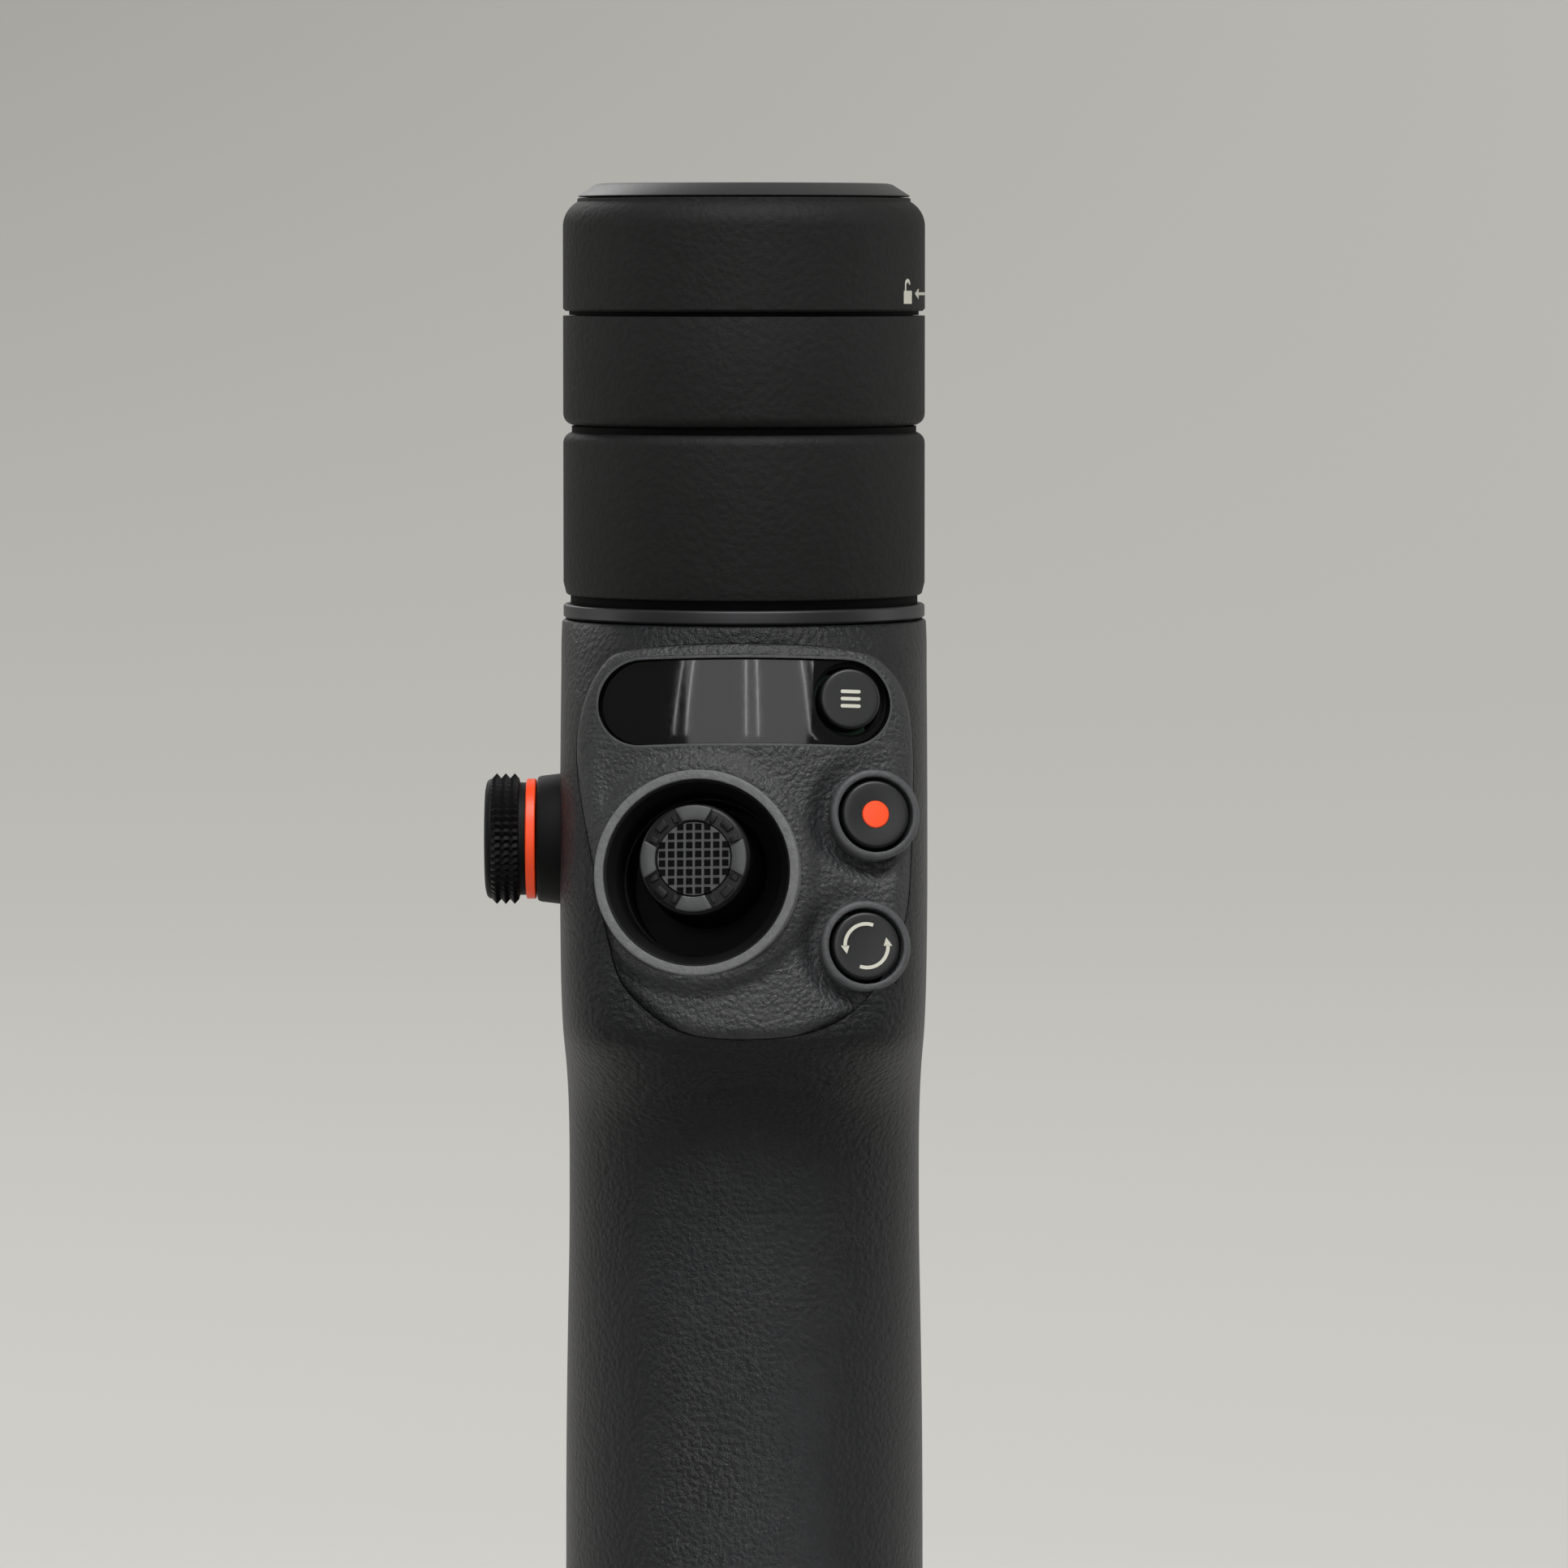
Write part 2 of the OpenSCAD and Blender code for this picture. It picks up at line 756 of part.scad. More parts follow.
module joystick_base() {
    color(black) on_stick() difference() {
        union() {
            translate([0, 0, -stick_base_depth]) difference() {
                cylinder(r = stick_base_r, h = stick_base_depth - bezel_depth - hair);
                translate([0, 0, stick_floor])
                    cylinder(r = stick_base_r - stick_wall, h = stick_base_depth);
            }
            for (side = [0, 1]) mirror([side, 0, 0])
                translate([ear_in, stick_lift - ear_half, -stick_base_depth])
                    cube([ear_out - ear_in, 2 * ear_half, stick_base_depth - pivot_depth + ear_half]);
        }
        translate([0, stick_lift, -pivot_depth]) x_bar(cross_pin_r + slip, stick_base_r / 2 + over);
    }
}

module joystick_cross() {
    color(steel) on_pivot() {
        cube(2 * cross_half, center = true);
        x_bar(cross_pin_r, ear_out);
        rotate([0, 0, 90]) x_bar(cross_pin_r, fork_out);
    }
}

module joystick_cap() {
    color(black) on_pivot() {
        difference() {
            union() {
                difference() {
                    sphere(r = dome_r);
                    sphere(r = dome_r - dome_wall);
                    translate([0, 0, -2 * dome_r - dome_cut]) cylinder(r = 2 * dome_r, h = 2 * dome_r);
                }
                for (side = [0, 1]) mirror([0, side, 0]) {
                    translate([-ear_half, fork_in, 0])
                        cube([2 * ear_half, fork_out - fork_in, dome_r - 2 * dome_wall]);
                    translate([0, fork_in, 0]) rotate([-90, 0, 0])
                        cylinder(r = ear_half, h = fork_out - fork_in);
                }
            }
            rotate([90, 0, 0]) cylinder(r = cross_pin_r + slip, h = 2 * dome_r, center = true);
        }
        translate([0, 0, dome_r - dome_wall / 2])
            cylinder(r = stem_r, h = pivot_depth + cap_crest - cap_h - dome_r + dome_wall);
        translate([0, 0, pivot_depth + cap_crest - cap_h]) rotate_extrude() polygon([
            [0, 0], [cap_r - cap_round, 0], [cap_r, cap_round], [cap_r, cap_h - cap_round],
            [cap_r - cap_round, cap_h], [cap_dish_r, cap_h], [cap_dish_r, cap_h - cap_dish],
            [0, cap_h - cap_dish]]);
    }
}

// A button: a cap with a dished face and a stem
module button(r, crest, depth) {
    rotate_extrude() polygon([
        [0, -depth], [button_stem_r, -depth], [button_stem_r, -button_skirt],
        [r, -button_skirt], [r, crest - button_round], [r - button_round, crest], [0, crest]]);
}

module mode_button() {
    color(charcoal) on_mode() button(mode_r, mode_crest, button_skirt - hair);
}

module record_button() {
    color(charcoal) on_record() difference() {
        button(button_r, button_crest, button_depth);
        translate([0, 0, button_crest - dot_h]) cylinder(r = dot_r + slip, h = dot_h + over);
    }
}

module record_dot() {
    color(orange) on_record() translate([0, 0, button_crest - dot_h])
        cylinder(r = dot_r, h = dot_h + dot_proud);
}

module flip_button() {
    color(charcoal) on_flip() button(button_r, button_crest, button_depth);
}

module button_board() {
    color(board_green) on_buttons()
        translate([-button_board_l, -button_board_half_h, -panel_depth - hair - board_t])
            cube([button_board_l + button_board_r, 2 * button_board_half_h, board_t]);
}

module switch_block(top, h) {
    translate([-switch_half, -switch_half, -top - h]) cube([2 * switch_half, 2 * switch_half, h]);
}

module button_switches() {
    top = button_depth + switch_gap;
    color(steel) {
        on_record() switch_block(top, panel_depth + hair - top);
        on_flip() switch_block(top, panel_depth + hair - top);
        on_mode() switch_block(button_skirt + switch_gap, mode_switch_h);
    }
}

// The side wheel, along its own axis out of the casing's left side
module on_wheel() {
    translate([-wheel_x, wheel_y, wheel_z]) rotate([0, -90, 0]) children();
}

module side_wheel_base() {
    color(black) on_wheel() difference() {
        union() {
            cylinder(r1 = wheel_base_r, r2 = wheel_base_tip_r, h = wheel_base_h);
            translate([0, 0, -wheel_hub_l]) cylinder(r = wheel_hub_r, h = wheel_hub_l);
        }
        translate([0, 0, -wheel_axle_l])
            cylinder(r = wheel_axle_r + slip, h = wheel_axle_l + wheel_base_h + over);
    }
}

module side_wheel_ring() {
    color(orange) on_wheel() translate([0, 0, accent_z])
        tube(accent_r, wheel_axle_r + slip, accent_h);
}

module side_wheel() {
    knurl = [for (i = [0:2 * knurl_n - 1])
                 let (a = i * 180 / knurl_n, r = wheel_r - (i % 2) * knurl_depth)
                 [r * cos(a), r * sin(a)]];
    color(black) on_wheel() {
        translate([0, 0, gap - wheel_axle_l]) cylinder(r = wheel_axle_r, h = neck_low + wheel_axle_l);
        translate([0, 0, neck_low]) cylinder(r = accent_r - wheel_neck_in, h = wheel_neck_h);
        translate([0, 0, knurl_low]) linear_extrude(knurl_h) polygon(knurl);
        translate([0, 0, wheel_face_low])
            cylinder(r1 = accent_r, r2 = accent_r - wheel_face_h, h = wheel_face_h);
    }
}

// The trigger swings on a pin behind the casing's rear wall
module trigger() {
    reach = trigger_reach;
    drop = trigger_drop;
    blade = [for (p = trigger_shares) [p[0] * reach, p[1] * drop]];
    color(charcoal) translate([0, trigger_y, trigger_z]) along_x() difference() {
        union() {
            translate([0, 0, -trigger_w / 2]) linear_extrude(trigger_w) polygon(smooth_loop(blade, 3));
            translate([0, 0, -trigger_w / 2]) cylinder(r = trigger_eye_r, h = trigger_w);
        }
        translate([0, 0, -trigger_w]) cylinder(r = trigger_pin_r + slip, h = 2 * trigger_w);
    }
}

module trigger_pin() {
    color(steel) translate([0, trigger_y, trigger_z])
        x_bar(trigger_pin_r, trigger_w / 2 + trigger_gap + trigger_ear_t - gap);
}

module trigger_ears() {
    for (side = [0, 1]) mirror([side, 0, 0])
        translate([trigger_w / 2 + trigger_gap, trigger_y - trigger_eye_r, trigger_z - trigger_eye_r])
            cube([trigger_ear_t, trigger_ear_l, 2 * trigger_eye_r]);
}

module power_button() {
    color(charcoal) translate([power_x - power_l, power_y, power_z]) rotate([0, 90, 0])
        cylinder(r = power_r, h = power_l);
}

module power_switch() {
    color(steel) translate([cell_w / 2 + gap, power_y - power_switch_half, power_z - power_switch_half])
        cube([power_x - power_l - switch_gap - cell_w / 2 - gap,
              sleeve_r + gap + cell_t / 6 - power_y + power_switch_half, 2 * power_switch_half]);
}

module usb_port() {
    color(steel) translate([half_w - port_l, port_y, port_z]) rotate([0, 90, 0]) difference() {
        stadium(port_w, port_t, port_l - port_inset);
        translate([0, 0, port_wall]) stadium(port_w - 2 * port_wall, port_t - 2 * port_wall, port_l);
    }
}

module main_board() {
    color(board_green) translate([-main_board_w / 2, -board_y - board_t, main_board_z])
        cube([main_board_w, board_t, main_board_h]);
}

module battery_cell() {
    color(steel) translate([-cell_w / 2, sleeve_r + gap, cell_z]) cube([cell_w, cell_t, cell_h]);
}

module handle_screws() {
    color(steel) at_screws() {
        translate([0, 0, slip - screw_l / 2]) cylinder(r = screw_r, h = screw_l);
        translate([0, 0, screw_l / 2]) cylinder(r = screw_head_r, h = screw_head_h);
    }
}

module tripod_insert() {
    color(steel) difference() {
        cylinder(r = insert_r, h = insert_h);
        translate([0, 0, -over]) cylinder(r = thread_r, h = thread_depth + over);
    }
}

// The telescopic rod
module rod_sleeve() {
    color(steel) translate([0, 0, insert_h]) difference() {
        cylinder(r = sleeve_r, h = handle_h - insert_h);
        translate([0, 0, rod_floor]) cylinder(r = middle_r + slip, h = handle_h);
    }
}

module rod_middle() {
    low = insert_h + rod_floor + hair;
    color(steel) translate([0, 0, low]) tube(middle_r, inner_r + slip, handle_h - low - gap);
}

module rod_inner() {
    low = insert_h + rod_floor + gap;
    color(steel) translate([0, 0, low]) tube(inner_r, inner_r - rod_wall, ring_z - low);
}

module rod_head() {
    color(ring_grey) {
        translate([0, 0, ring_z]) cylinder(r = puck_r, h = ring_h);
        translate([0, 0, neck_z]) cylinder(r = neck_r, h = neck_h);
        translate([0, 0, ring_z - rod_plug]) cylinder(r = inner_r - rod_wall - slip, h = rod_plug);
    }
}

// The pan motor, inside the stack of pucks
module pan_housing() {
    color(puck_grey) difference() {
        union() {
            translate([0, 0, housing_z]) difference() {
                rotate_extrude() polygon(concat(
                    [[0, 0], [puck_r - puck_chamfer, 0], [puck_r, puck_chamfer_h]],
                    arc(puck_r - puck_round, housing_h - puck_round, puck_round, 0, 90),
                    [[0, housing_h]]));
                translate([0, 0, puck_wall]) cylinder(r = puck_r - puck_wall, h = housing_h);
            }
            translate([0, 0, housing_z]) cylinder(r = post_r, h = rotor_top - post_top - housing_z);
        }
        translate([0, 0, housing_z + puck_wall]) cylinder(r = post_bore_r, h = housing_h + rotor_h);
    }
}

module pan_board() {
    color(board_green) translate([0, 0, housing_z + puck_wall + hair])
        tube(pan_board_r, post_r + gap, board_t);
}

// A wound core: a ring with open slots between its teeth
module wound_ring(r_out, r_in, h, teeth) {
    difference() {
        tube(r_out, r_in, h);
        for (i = [0:teeth - 1]) rotate([0, 0, i * 360 / teeth])
            translate([(r_out + r_in) / 2, -slot_w / 2, -over]) cube([r_out, slot_w, h + 2 * over]);
    }
}

module pan_stator() {
    color(copper) translate([0, 0, rotor_top - post_top - coil_h - gap])
        wound_ring(coil_r, post_r + slip, coil_h, 12);
}

module pan_bearings() {
    color(steel) for (z = [housing_z + puck_wall + hair, rotor_top - post_top - bearing_h - gap])
        translate([0, 0, z]) tube(post_bore_r - slip, pan_shaft_r + slip, bearing_h);
}

module pan_rotor_shell() {
    cavity_top = rotor_top - rotor_top_wall;
    color(puck_grey) difference() {
        union() {
            difference() {
                union() {
                    translate([0, 0, rotor_z]) rotate_extrude() polygon(concat(
                        [[0, 0]],
                        arc(puck_r - puck_round, puck_round, puck_round, -90, 0),
                        [[puck_r, rotor_h], [0, rotor_h]]));
                    translate([0, 0, rotor_z - spigot_h])
                        cylinder(r = puck_r - puck_wall - spigot_gap, h = spigot_h + puck_round);
                    translate([-lug_half_w, puck_r - rotor_wall, shoulder_z - lug_r])
                        cube([2 * lug_half_w, pin_y - puck_r + rotor_wall, 2 * lug_r]);
                    translate([0, pin_y, shoulder_z]) x_bar(lug_r, lug_half_w);
                }
                translate([0, 0, rotor_z - spigot_h - over])
                    cylinder(r = puck_r - rotor_wall - magnet_inset,
                             h = cavity_top - rotor_z + spigot_h + over);
            }
            translate([0, 0, cavity_top - rotor_boss_h])
                cylinder(r = hub_r, h = rotor_boss_h + rotor_top_wall);
            translate([0, 0, rotor_top]) cylinder(r = hub_r, h = cap_z - rotor_top);
        }
        translate([0, 0, cavity_top - 2 * rotor_boss_h])
            cylinder(r = pan_shaft_r + slip, h = pan_shaft_grip);
        translate([0, pin_y, shoulder_z]) x_bar(pin_r + slip, lug_half_w + over);
    }
}

module pan_magnet_ring() {
    color(steel) translate([0, 0, rotor_z - spigot_h + hair])
        tube(magnet_r_out, magnet_in_r, coil_h);
}

module pan_shaft() {
    low = housing_z + puck_wall + gap;
    color(steel) translate([0, 0, low])
        cylinder(r = pan_shaft_r,
                 h = rotor_top - rotor_top_wall - 2 * rotor_boss_h + pan_shaft_grip - hair - low);
}

// The lock ring turns round the hub, under a fixed cap
module lock_ring() {
    color(puck_grey) translate([0, 0, lock_z]) difference() {
        rotate_extrude() polygon(concat(
            [[hub_r + slip, 0], [puck_r, 0]],
            arc(puck_r - lock_round, lock_h - lock_round, lock_round, 0, 60),
            [[lock_cap_low_r, lock_h], [hub_r + slip, lock_h]]));
        translate([0, 0, -over])
            tube(puck_r - rotor_wall, hub_r + rotor_wall, lock_h - rotor_wall + over);
    }
}

module lock_cap() {
    color(puck_grey) translate([0, 0, cap_z])
        cylinder(r1 = lock_cap_low_r, r2 = lock_cap_top_r, h = lock_cap_h);
}

// The folding arm hangs behind the handle on the shoulder pin and carries the elbow pin
module fold_pin(z) {
    color(steel) translate([0, pin_y, z]) x_bar(pin_r, arm_half_w);
}

module shoulder_pin() {
    fold_pin(shoulder_z);
}

module elbow_pin() {
    fold_pin(elbow_z);
}

module arm_window(side_gap, low_y) {
    translate([-arm_window_half_w + side_gap, low_y, elbow_z + arm_channel_end + side_gap])
        cube([2 * (arm_window_half_w - side_gap), pin_y + arm_half_t - low_y,
              arm_l - 2 * (arm_channel_end + side_gap)]);
}

module arm_shell() {
    slot_half = lug_half_w + slot_gap;
    color(puck_grey) difference() {
        union() {
            translate([-arm_half_w, pin_y - arm_half_t, elbow_z])
                cube([2 * arm_half_w, 2 * arm_half_t, arm_l]);
            for (z = [elbow_z, shoulder_z]) translate([0, pin_y, z]) x_bar(arm_half_t, arm_half_w);
        }
        for (z = [elbow_z - 2 * slot_reach, shoulder_z - slot_reach])
            translate([-slot_half, pin_y - 2 * arm_half_t, z])
                cube([2 * slot_half, 4 * arm_half_t, 3 * slot_reach]);
        for (z = [elbow_z, shoulder_z]) translate([0, pin_y, z]) x_bar(pin_r + slip, arm_half_w + over);
        translate([0, over, 0]) arm_window(0, pin_y + arm_half_t - arm_channel);
    }
}

module arm_cover() {
    color(puck_grey) arm_window(hair, pin_y + arm_half_t - arm_cover_t);
}

// The roll motor hangs under the elbow
module roll_housing() {
    color(puck_grey) difference() {
        union() {
            difference() {
                union() {
                    translate([0, roll_y, roll_low]) cylinder(r = roll_r, h = roll_h);
                    translate([-lug_half_w, pin_y - arm_half_t, roll_top - small_wall])
                        cube([2 * lug_half_w, 2 * arm_half_t, roll_drop + small_wall]);
                    translate([0, pin_y, elbow_z]) x_bar(arm_half_t, lug_half_w);
                }
                translate([0, roll_y, roll_low - over])
                    cylinder(r = roll_r - small_wall, h = roll_h - small_wall + over);
            }
            translate([0, roll_y, roll_low + roll_post_gap])
                cylinder(r = small_post_r, h = roll_h - small_wall - roll_post_gap + small_wall / 2);
        }
        translate([0, roll_y, roll_low - over])
            cylinder(r = small_post_bore_r, h = roll_h - small_wall + over);
        translate([0, pin_y, elbow_z]) x_bar(pin_r + slip, lug_half_w + over);
    }
}

module roll_stator() {
    color(copper) translate([0, roll_y, roll_low + roll_post_gap + gap])
        wound_ring(small_coil_r, small_post_r + slip, small_coil_h, 9);
}

module roll_bearings() {
    color(steel) for (z = [roll_low + roll_post_gap, roll_top - small_wall - small_bearing_h - hair])
        translate([0, roll_y, z]) tube(small_post_bore_r - slip, small_shaft_r + slip, small_bearing_h);
}

module roll_bracket() {
    color(puck_grey) difference() {
        union() {
            translate([0, roll_y, roll_disc_low]) cylinder(r = roll_r, h = roll_disc_h);
            translate([-leg_out, roll_y - leg_half_w, tilt_z])
                cube([leg_t, 2 * leg_half_w, roll_disc_low - tilt_z]);
            translate([-leg_out, roll_y, tilt_z]) along_x() cylinder(r = leg_half_w, h = leg_t);
            translate([-leg_brace, roll_y - leg_half_w, roll_disc_low])
                cube([leg_t, 2 * leg_half_w, roll_disc_h / 2]);
        }
        translate([0, roll_y, roll_disc_low + over])
            cylinder(r = small_shaft_r + slip, h = roll_disc_h);
    }
}

module roll_magnet_ring() {
    color(steel) translate([0, roll_y, roll_disc_top])
        tube(small_magnet_r, small_magnet_in_r, small_coil_h);
}

module roll_shaft() {
    low = roll_disc_low + over + hair;
    color(steel) translate([0, roll_y, low])
        cylinder(r = small_shaft_r, h = roll_top - small_wall - gap - low);
}

// The tilt motor hangs on the bracket's leg, on an axis along X
module on_tilt(x) {
    translate([x, roll_y, tilt_z]) along_x() children();
}

module tilt_housing() {
    color(puck_grey) on_tilt(-tilt_housing_x) difference() {
        union() {
            difference() {
                cylinder(r = tilt_r, h = tilt_housing_l);
                translate([0, 0, small_wall]) cylinder(r = tilt_r - puck_wall, h = tilt_housing_l);
            }
            cylinder(r = tilt_post_r, h = tilt_housing_l - gap);
        }
        translate([0, 0, small_wall]) cylinder(r = tilt_post_bore_r, h = tilt_housing_l);
    }
}

module tilt_stator() {
    color(copper) on_tilt(small_wall + gap - tilt_housing_x)
        wound_ring(tilt_coil_r, tilt_post_r + slip, tilt_coil_h, 9);
}

module tilt_bearing() {
    color(steel) on_tilt(small_wall + hair - tilt_housing_x)
        tube(tilt_post_bore_r - slip, small_shaft_r + slip, tilt_coil_h);
}

module tilt_rotor() {
    color(puck_grey) difference() {
        union() {
            on_tilt(-tilt_rotor_x) cylinder(r = tilt_r, h = tilt_rotor_l);
            translate([-tilt_rotor_x, roll_y - plate_block_half, tilt_z - plate_reach + plate_t])
                cube([tilt_rotor_l, 2 * plate_block_half, plate_reach - plate_t]);
        }
        on_tilt(-tilt_rotor_x - over) cylinder(r = tilt_hollow_r, h = tilt_hollow_l + over);
        on_tilt(-tilt_rotor_x - over) cylinder(r = small_shaft_r + slip, h = tilt_rotor_l - small_wall);
    }
}

module tilt_shaft() {
    low = small_wall + gap - tilt_housing_x;
    color(steel)
        on_tilt(low) cylinder(r = small_shaft_r,
                              h = tilt_rotor_l - tilt_rotor_x - small_wall - over - hair - low);
}

// The magnetic plate that takes the phone clamp
module at_magnets() {
    for (i = [0:3]) translate([0, roll_y, tilt_z - plate_reach + plate_skin])
        rotate([0, 0, 45 + i * 90]) translate([magnet_place_r, 0, 0]) children();
}

module phone_plate() {
    color(steel) difference() {
        translate([0, roll_y, tilt_z - plate_reach]) cylinder(r = plate_r, h = plate_t);
        at_magnets() cylinder(r = magnet_r + slip, h = plate_t);
    }
}

module plate_magnets() {
    color(black) at_magnets() cylinder(r = magnet_r, h = plate_t - plate_skin - slip);
}

handle_front_shell();
handle_rear_shell();
control_panel();
display_lens();
display_board();
joystick_bezel();
joystick_base();
joystick_cross();
joystick_cap();
mode_button();
record_button();
record_dot();
flip_button();
button_board();
button_switches();
side_wheel_base();
side_wheel();
side_wheel_ring();
trigger();
trigger_pin();
power_button();
power_switch();
main_board();
battery_cell();
usb_port();
rod_sleeve();
rod_middle();
rod_inner();
rod_head();
base_cap();
tripod_insert();
handle_screws();
pan_housing();
pan_board();
pan_stator();
pan_bearings();
pan_rotor_shell();
pan_magnet_ring();
pan_shaft();
lock_ring();
lock_cap();
shoulder_pin();
arm_shell();
arm_cover();
elbow_pin();
roll_housing();
roll_stator();
roll_bearings();
roll_bracket();
roll_magnet_ring();
roll_shaft();
tilt_housing();
tilt_stator();
tilt_bearing();
tilt_rotor();
tilt_shaft();
phone_plate();
plate_magnets();
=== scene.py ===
# %% [markdown]
# A folding smartphone gimbal, stored folded and standing upright. The moving frame of the model is
# loaded first and stays as it is. Each cell after that dresses one part of it: a new piece is
# modelled where the plain solid is too sharp or too bare, and every surface gets a finish that
# starts from what the real one is made of.

# %% Load the frame
import math

import bpy
import numpy as np
from mathutils import Matrix, Vector


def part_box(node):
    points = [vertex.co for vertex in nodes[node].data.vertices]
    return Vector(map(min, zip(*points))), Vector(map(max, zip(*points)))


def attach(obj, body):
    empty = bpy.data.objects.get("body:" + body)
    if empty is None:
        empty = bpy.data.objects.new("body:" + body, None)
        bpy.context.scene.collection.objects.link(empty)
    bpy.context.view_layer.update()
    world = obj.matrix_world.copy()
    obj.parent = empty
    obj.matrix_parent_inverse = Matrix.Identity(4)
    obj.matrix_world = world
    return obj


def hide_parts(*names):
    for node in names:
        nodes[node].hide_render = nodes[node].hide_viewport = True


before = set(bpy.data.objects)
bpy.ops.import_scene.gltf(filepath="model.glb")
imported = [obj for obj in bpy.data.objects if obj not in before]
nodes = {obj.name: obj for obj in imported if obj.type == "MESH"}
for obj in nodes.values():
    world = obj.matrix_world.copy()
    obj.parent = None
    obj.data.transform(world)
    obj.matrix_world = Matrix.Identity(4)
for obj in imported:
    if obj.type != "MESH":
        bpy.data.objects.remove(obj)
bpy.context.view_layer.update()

# %% [markdown]
# The real object is measured in millimetres and Blender works in metres, so one value turns one
# into the other. The sizes are the ones that the moving frame was built with, so a piece sits
# where the solid that it stands for sits.

# %% Sizes
MM = 0.001
# half the length of a cutter that goes right through a wall
THROUGH = 9 * MM
HALF_W = 19.2 * MM
PUCK_R = 19 * MM
PANEL_R = 34 * MM
PANEL_PROUD = 0.9 * MM
PANEL_HALF_W = 17.5 * MM
PANEL_H = 39.6 * MM
PANEL_TOP_DROP = 1.95 * MM
TILT = math.radians(11.5)
HANDLE_H = 144.4 * MM
PANEL_MID_Z = HANDLE_H - PANEL_TOP_DROP - PANEL_H / 2
print("handle height, mm:", round(HANDLE_H / MM, 2))


def at(x, y, z=0.0):
    """The place at x, y and z."""
    return Matrix.Translation((x, y, z))


def about(axis, angle):
    """A turn about an axis."""
    return Matrix.Rotation(angle, 4, axis)


def face_drop(x):
    """Fall of the curved control face beside its middle line."""
    return PANEL_R - math.sqrt(PANEL_R * PANEL_R - x * x)


def on_panel(x, z, yaw=0.0):
    """The place on the control face at x and z: Z points out of the face and Y up along it."""
    lift = face_drop(x) * math.sin(TILT)
    depth = -(HALF_W + PANEL_PROUD + (HANDLE_H - z - lift) * math.tan(TILT))
    tilted = at(x, depth, z + lift) @ about("X", math.pi / 2 - TILT)
    return tilted @ at(0, 0, -face_drop(x)) @ about("Y", yaw)


# %% [markdown]
# A finished piece has its object at the origin, so its place is in its mesh. These helpers do
# what a modeller does by hand: clear the selection, add one primitive, shape it, apply its place,
# and say which body it moves with.

# %% Modelling helpers


def pick_only(*pieces):
    """Selects these objects and nothing else."""
    if bpy.context.object and bpy.context.object.mode != "OBJECT":
        bpy.ops.object.mode_set(mode="OBJECT")
    bpy.ops.object.select_all(action="DESELECT")
    for piece in pieces:
        piece.select_set(True)
    if pieces:
        bpy.context.view_layer.objects.active = pieces[0]


def open_mesh(piece, choice="SELECT"):
    """Opens a piece in edit mode with all of its mesh selected, or none of it."""
    pick_only(piece)
    bpy.ops.object.mode_set(mode="EDIT")
    bpy.ops.mesh.select_all(action=choice)
    return piece


def close_mesh(piece):
    """Leaves edit mode."""
    bpy.ops.object.mode_set(mode="OBJECT")
    return piece


def draw_out(x, y, z):
    """Extrudes what is selected and moves it."""
    bpy.ops.mesh.extrude_region_move(TRANSFORM_OT_translate={"value": (x, y, z)})


def new_piece(name):
    """Names the object that was just added."""
    bpy.context.object.name = name
    return bpy.context.object


def block(name, low, high):
    """A box between two corners."""
    pick_only()
    middle = [(a + b) / 2 for a, b in zip(low, high)]
    bpy.ops.mesh.primitive_cube_add(size=1, location=middle)
    piece = new_piece(name)
    piece.scale = [b - a for a, b in zip(low, high)]
    return settle(piece)


def settle(piece, place=None):
    """Moves a piece to a place and leaves that place in its mesh."""
    if place is not None:
        piece.matrix_world = place @ piece.matrix_world
    pick_only(piece)
    bpy.ops.object.transform_apply(location=True, rotation=True, scale=True)
    return piece


def stack(piece, kind, **settings):
    """Adds a modifier."""
    modifier = piece.modifiers.new(kind.title(), kind)
    for key, value in settings.items():
        setattr(modifier, key, value)
    return modifier


def modify(piece, kind, **settings):
    """Adds a modifier and applies it."""
    pick_only(piece)
    bpy.ops.object.modifier_apply(modifier=stack(piece, kind, **settings).name)
    return piece


def cut(piece, *tools, operation="DIFFERENCE"):
    """Cuts a piece with tools, or keeps what they share, and throws the tools away."""
    for tool in tools:
        modify(piece, "BOOLEAN", operation=operation, object=tool, solver="EXACT")
        bpy.data.objects.remove(tool)
    return piece


def bore(piece, r, place, low=-THROUGH, high=THROUGH):
    """Cuts a round hole along the Z axis of a place."""
    pick_only()
    bpy.ops.mesh.primitive_cylinder_add(
        vertices=96, radius=r, depth=high - low, location=(0, 0, (low + high) / 2))
    return cut(piece, settle(bpy.context.object, place))


def join(piece, *others):
    """Makes one object of several."""
    pick_only(piece, *others)
    bpy.ops.object.join()
    return piece


def twin(piece, place):
    """A copy of a piece with its own mesh, moved to a place."""
    copy = piece.copy()
    copy.data = piece.data.copy()
    bpy.context.collection.objects.link(copy)
    return settle(copy, place)


def soften(piece, width, segments, angle):
    """Rounds every edge sharper than an angle."""
    return modify(piece, "BEVEL", width=width, segments=segments, limit_method="ANGLE",
                  angle_limit=math.radians(angle), harden_normals=False)


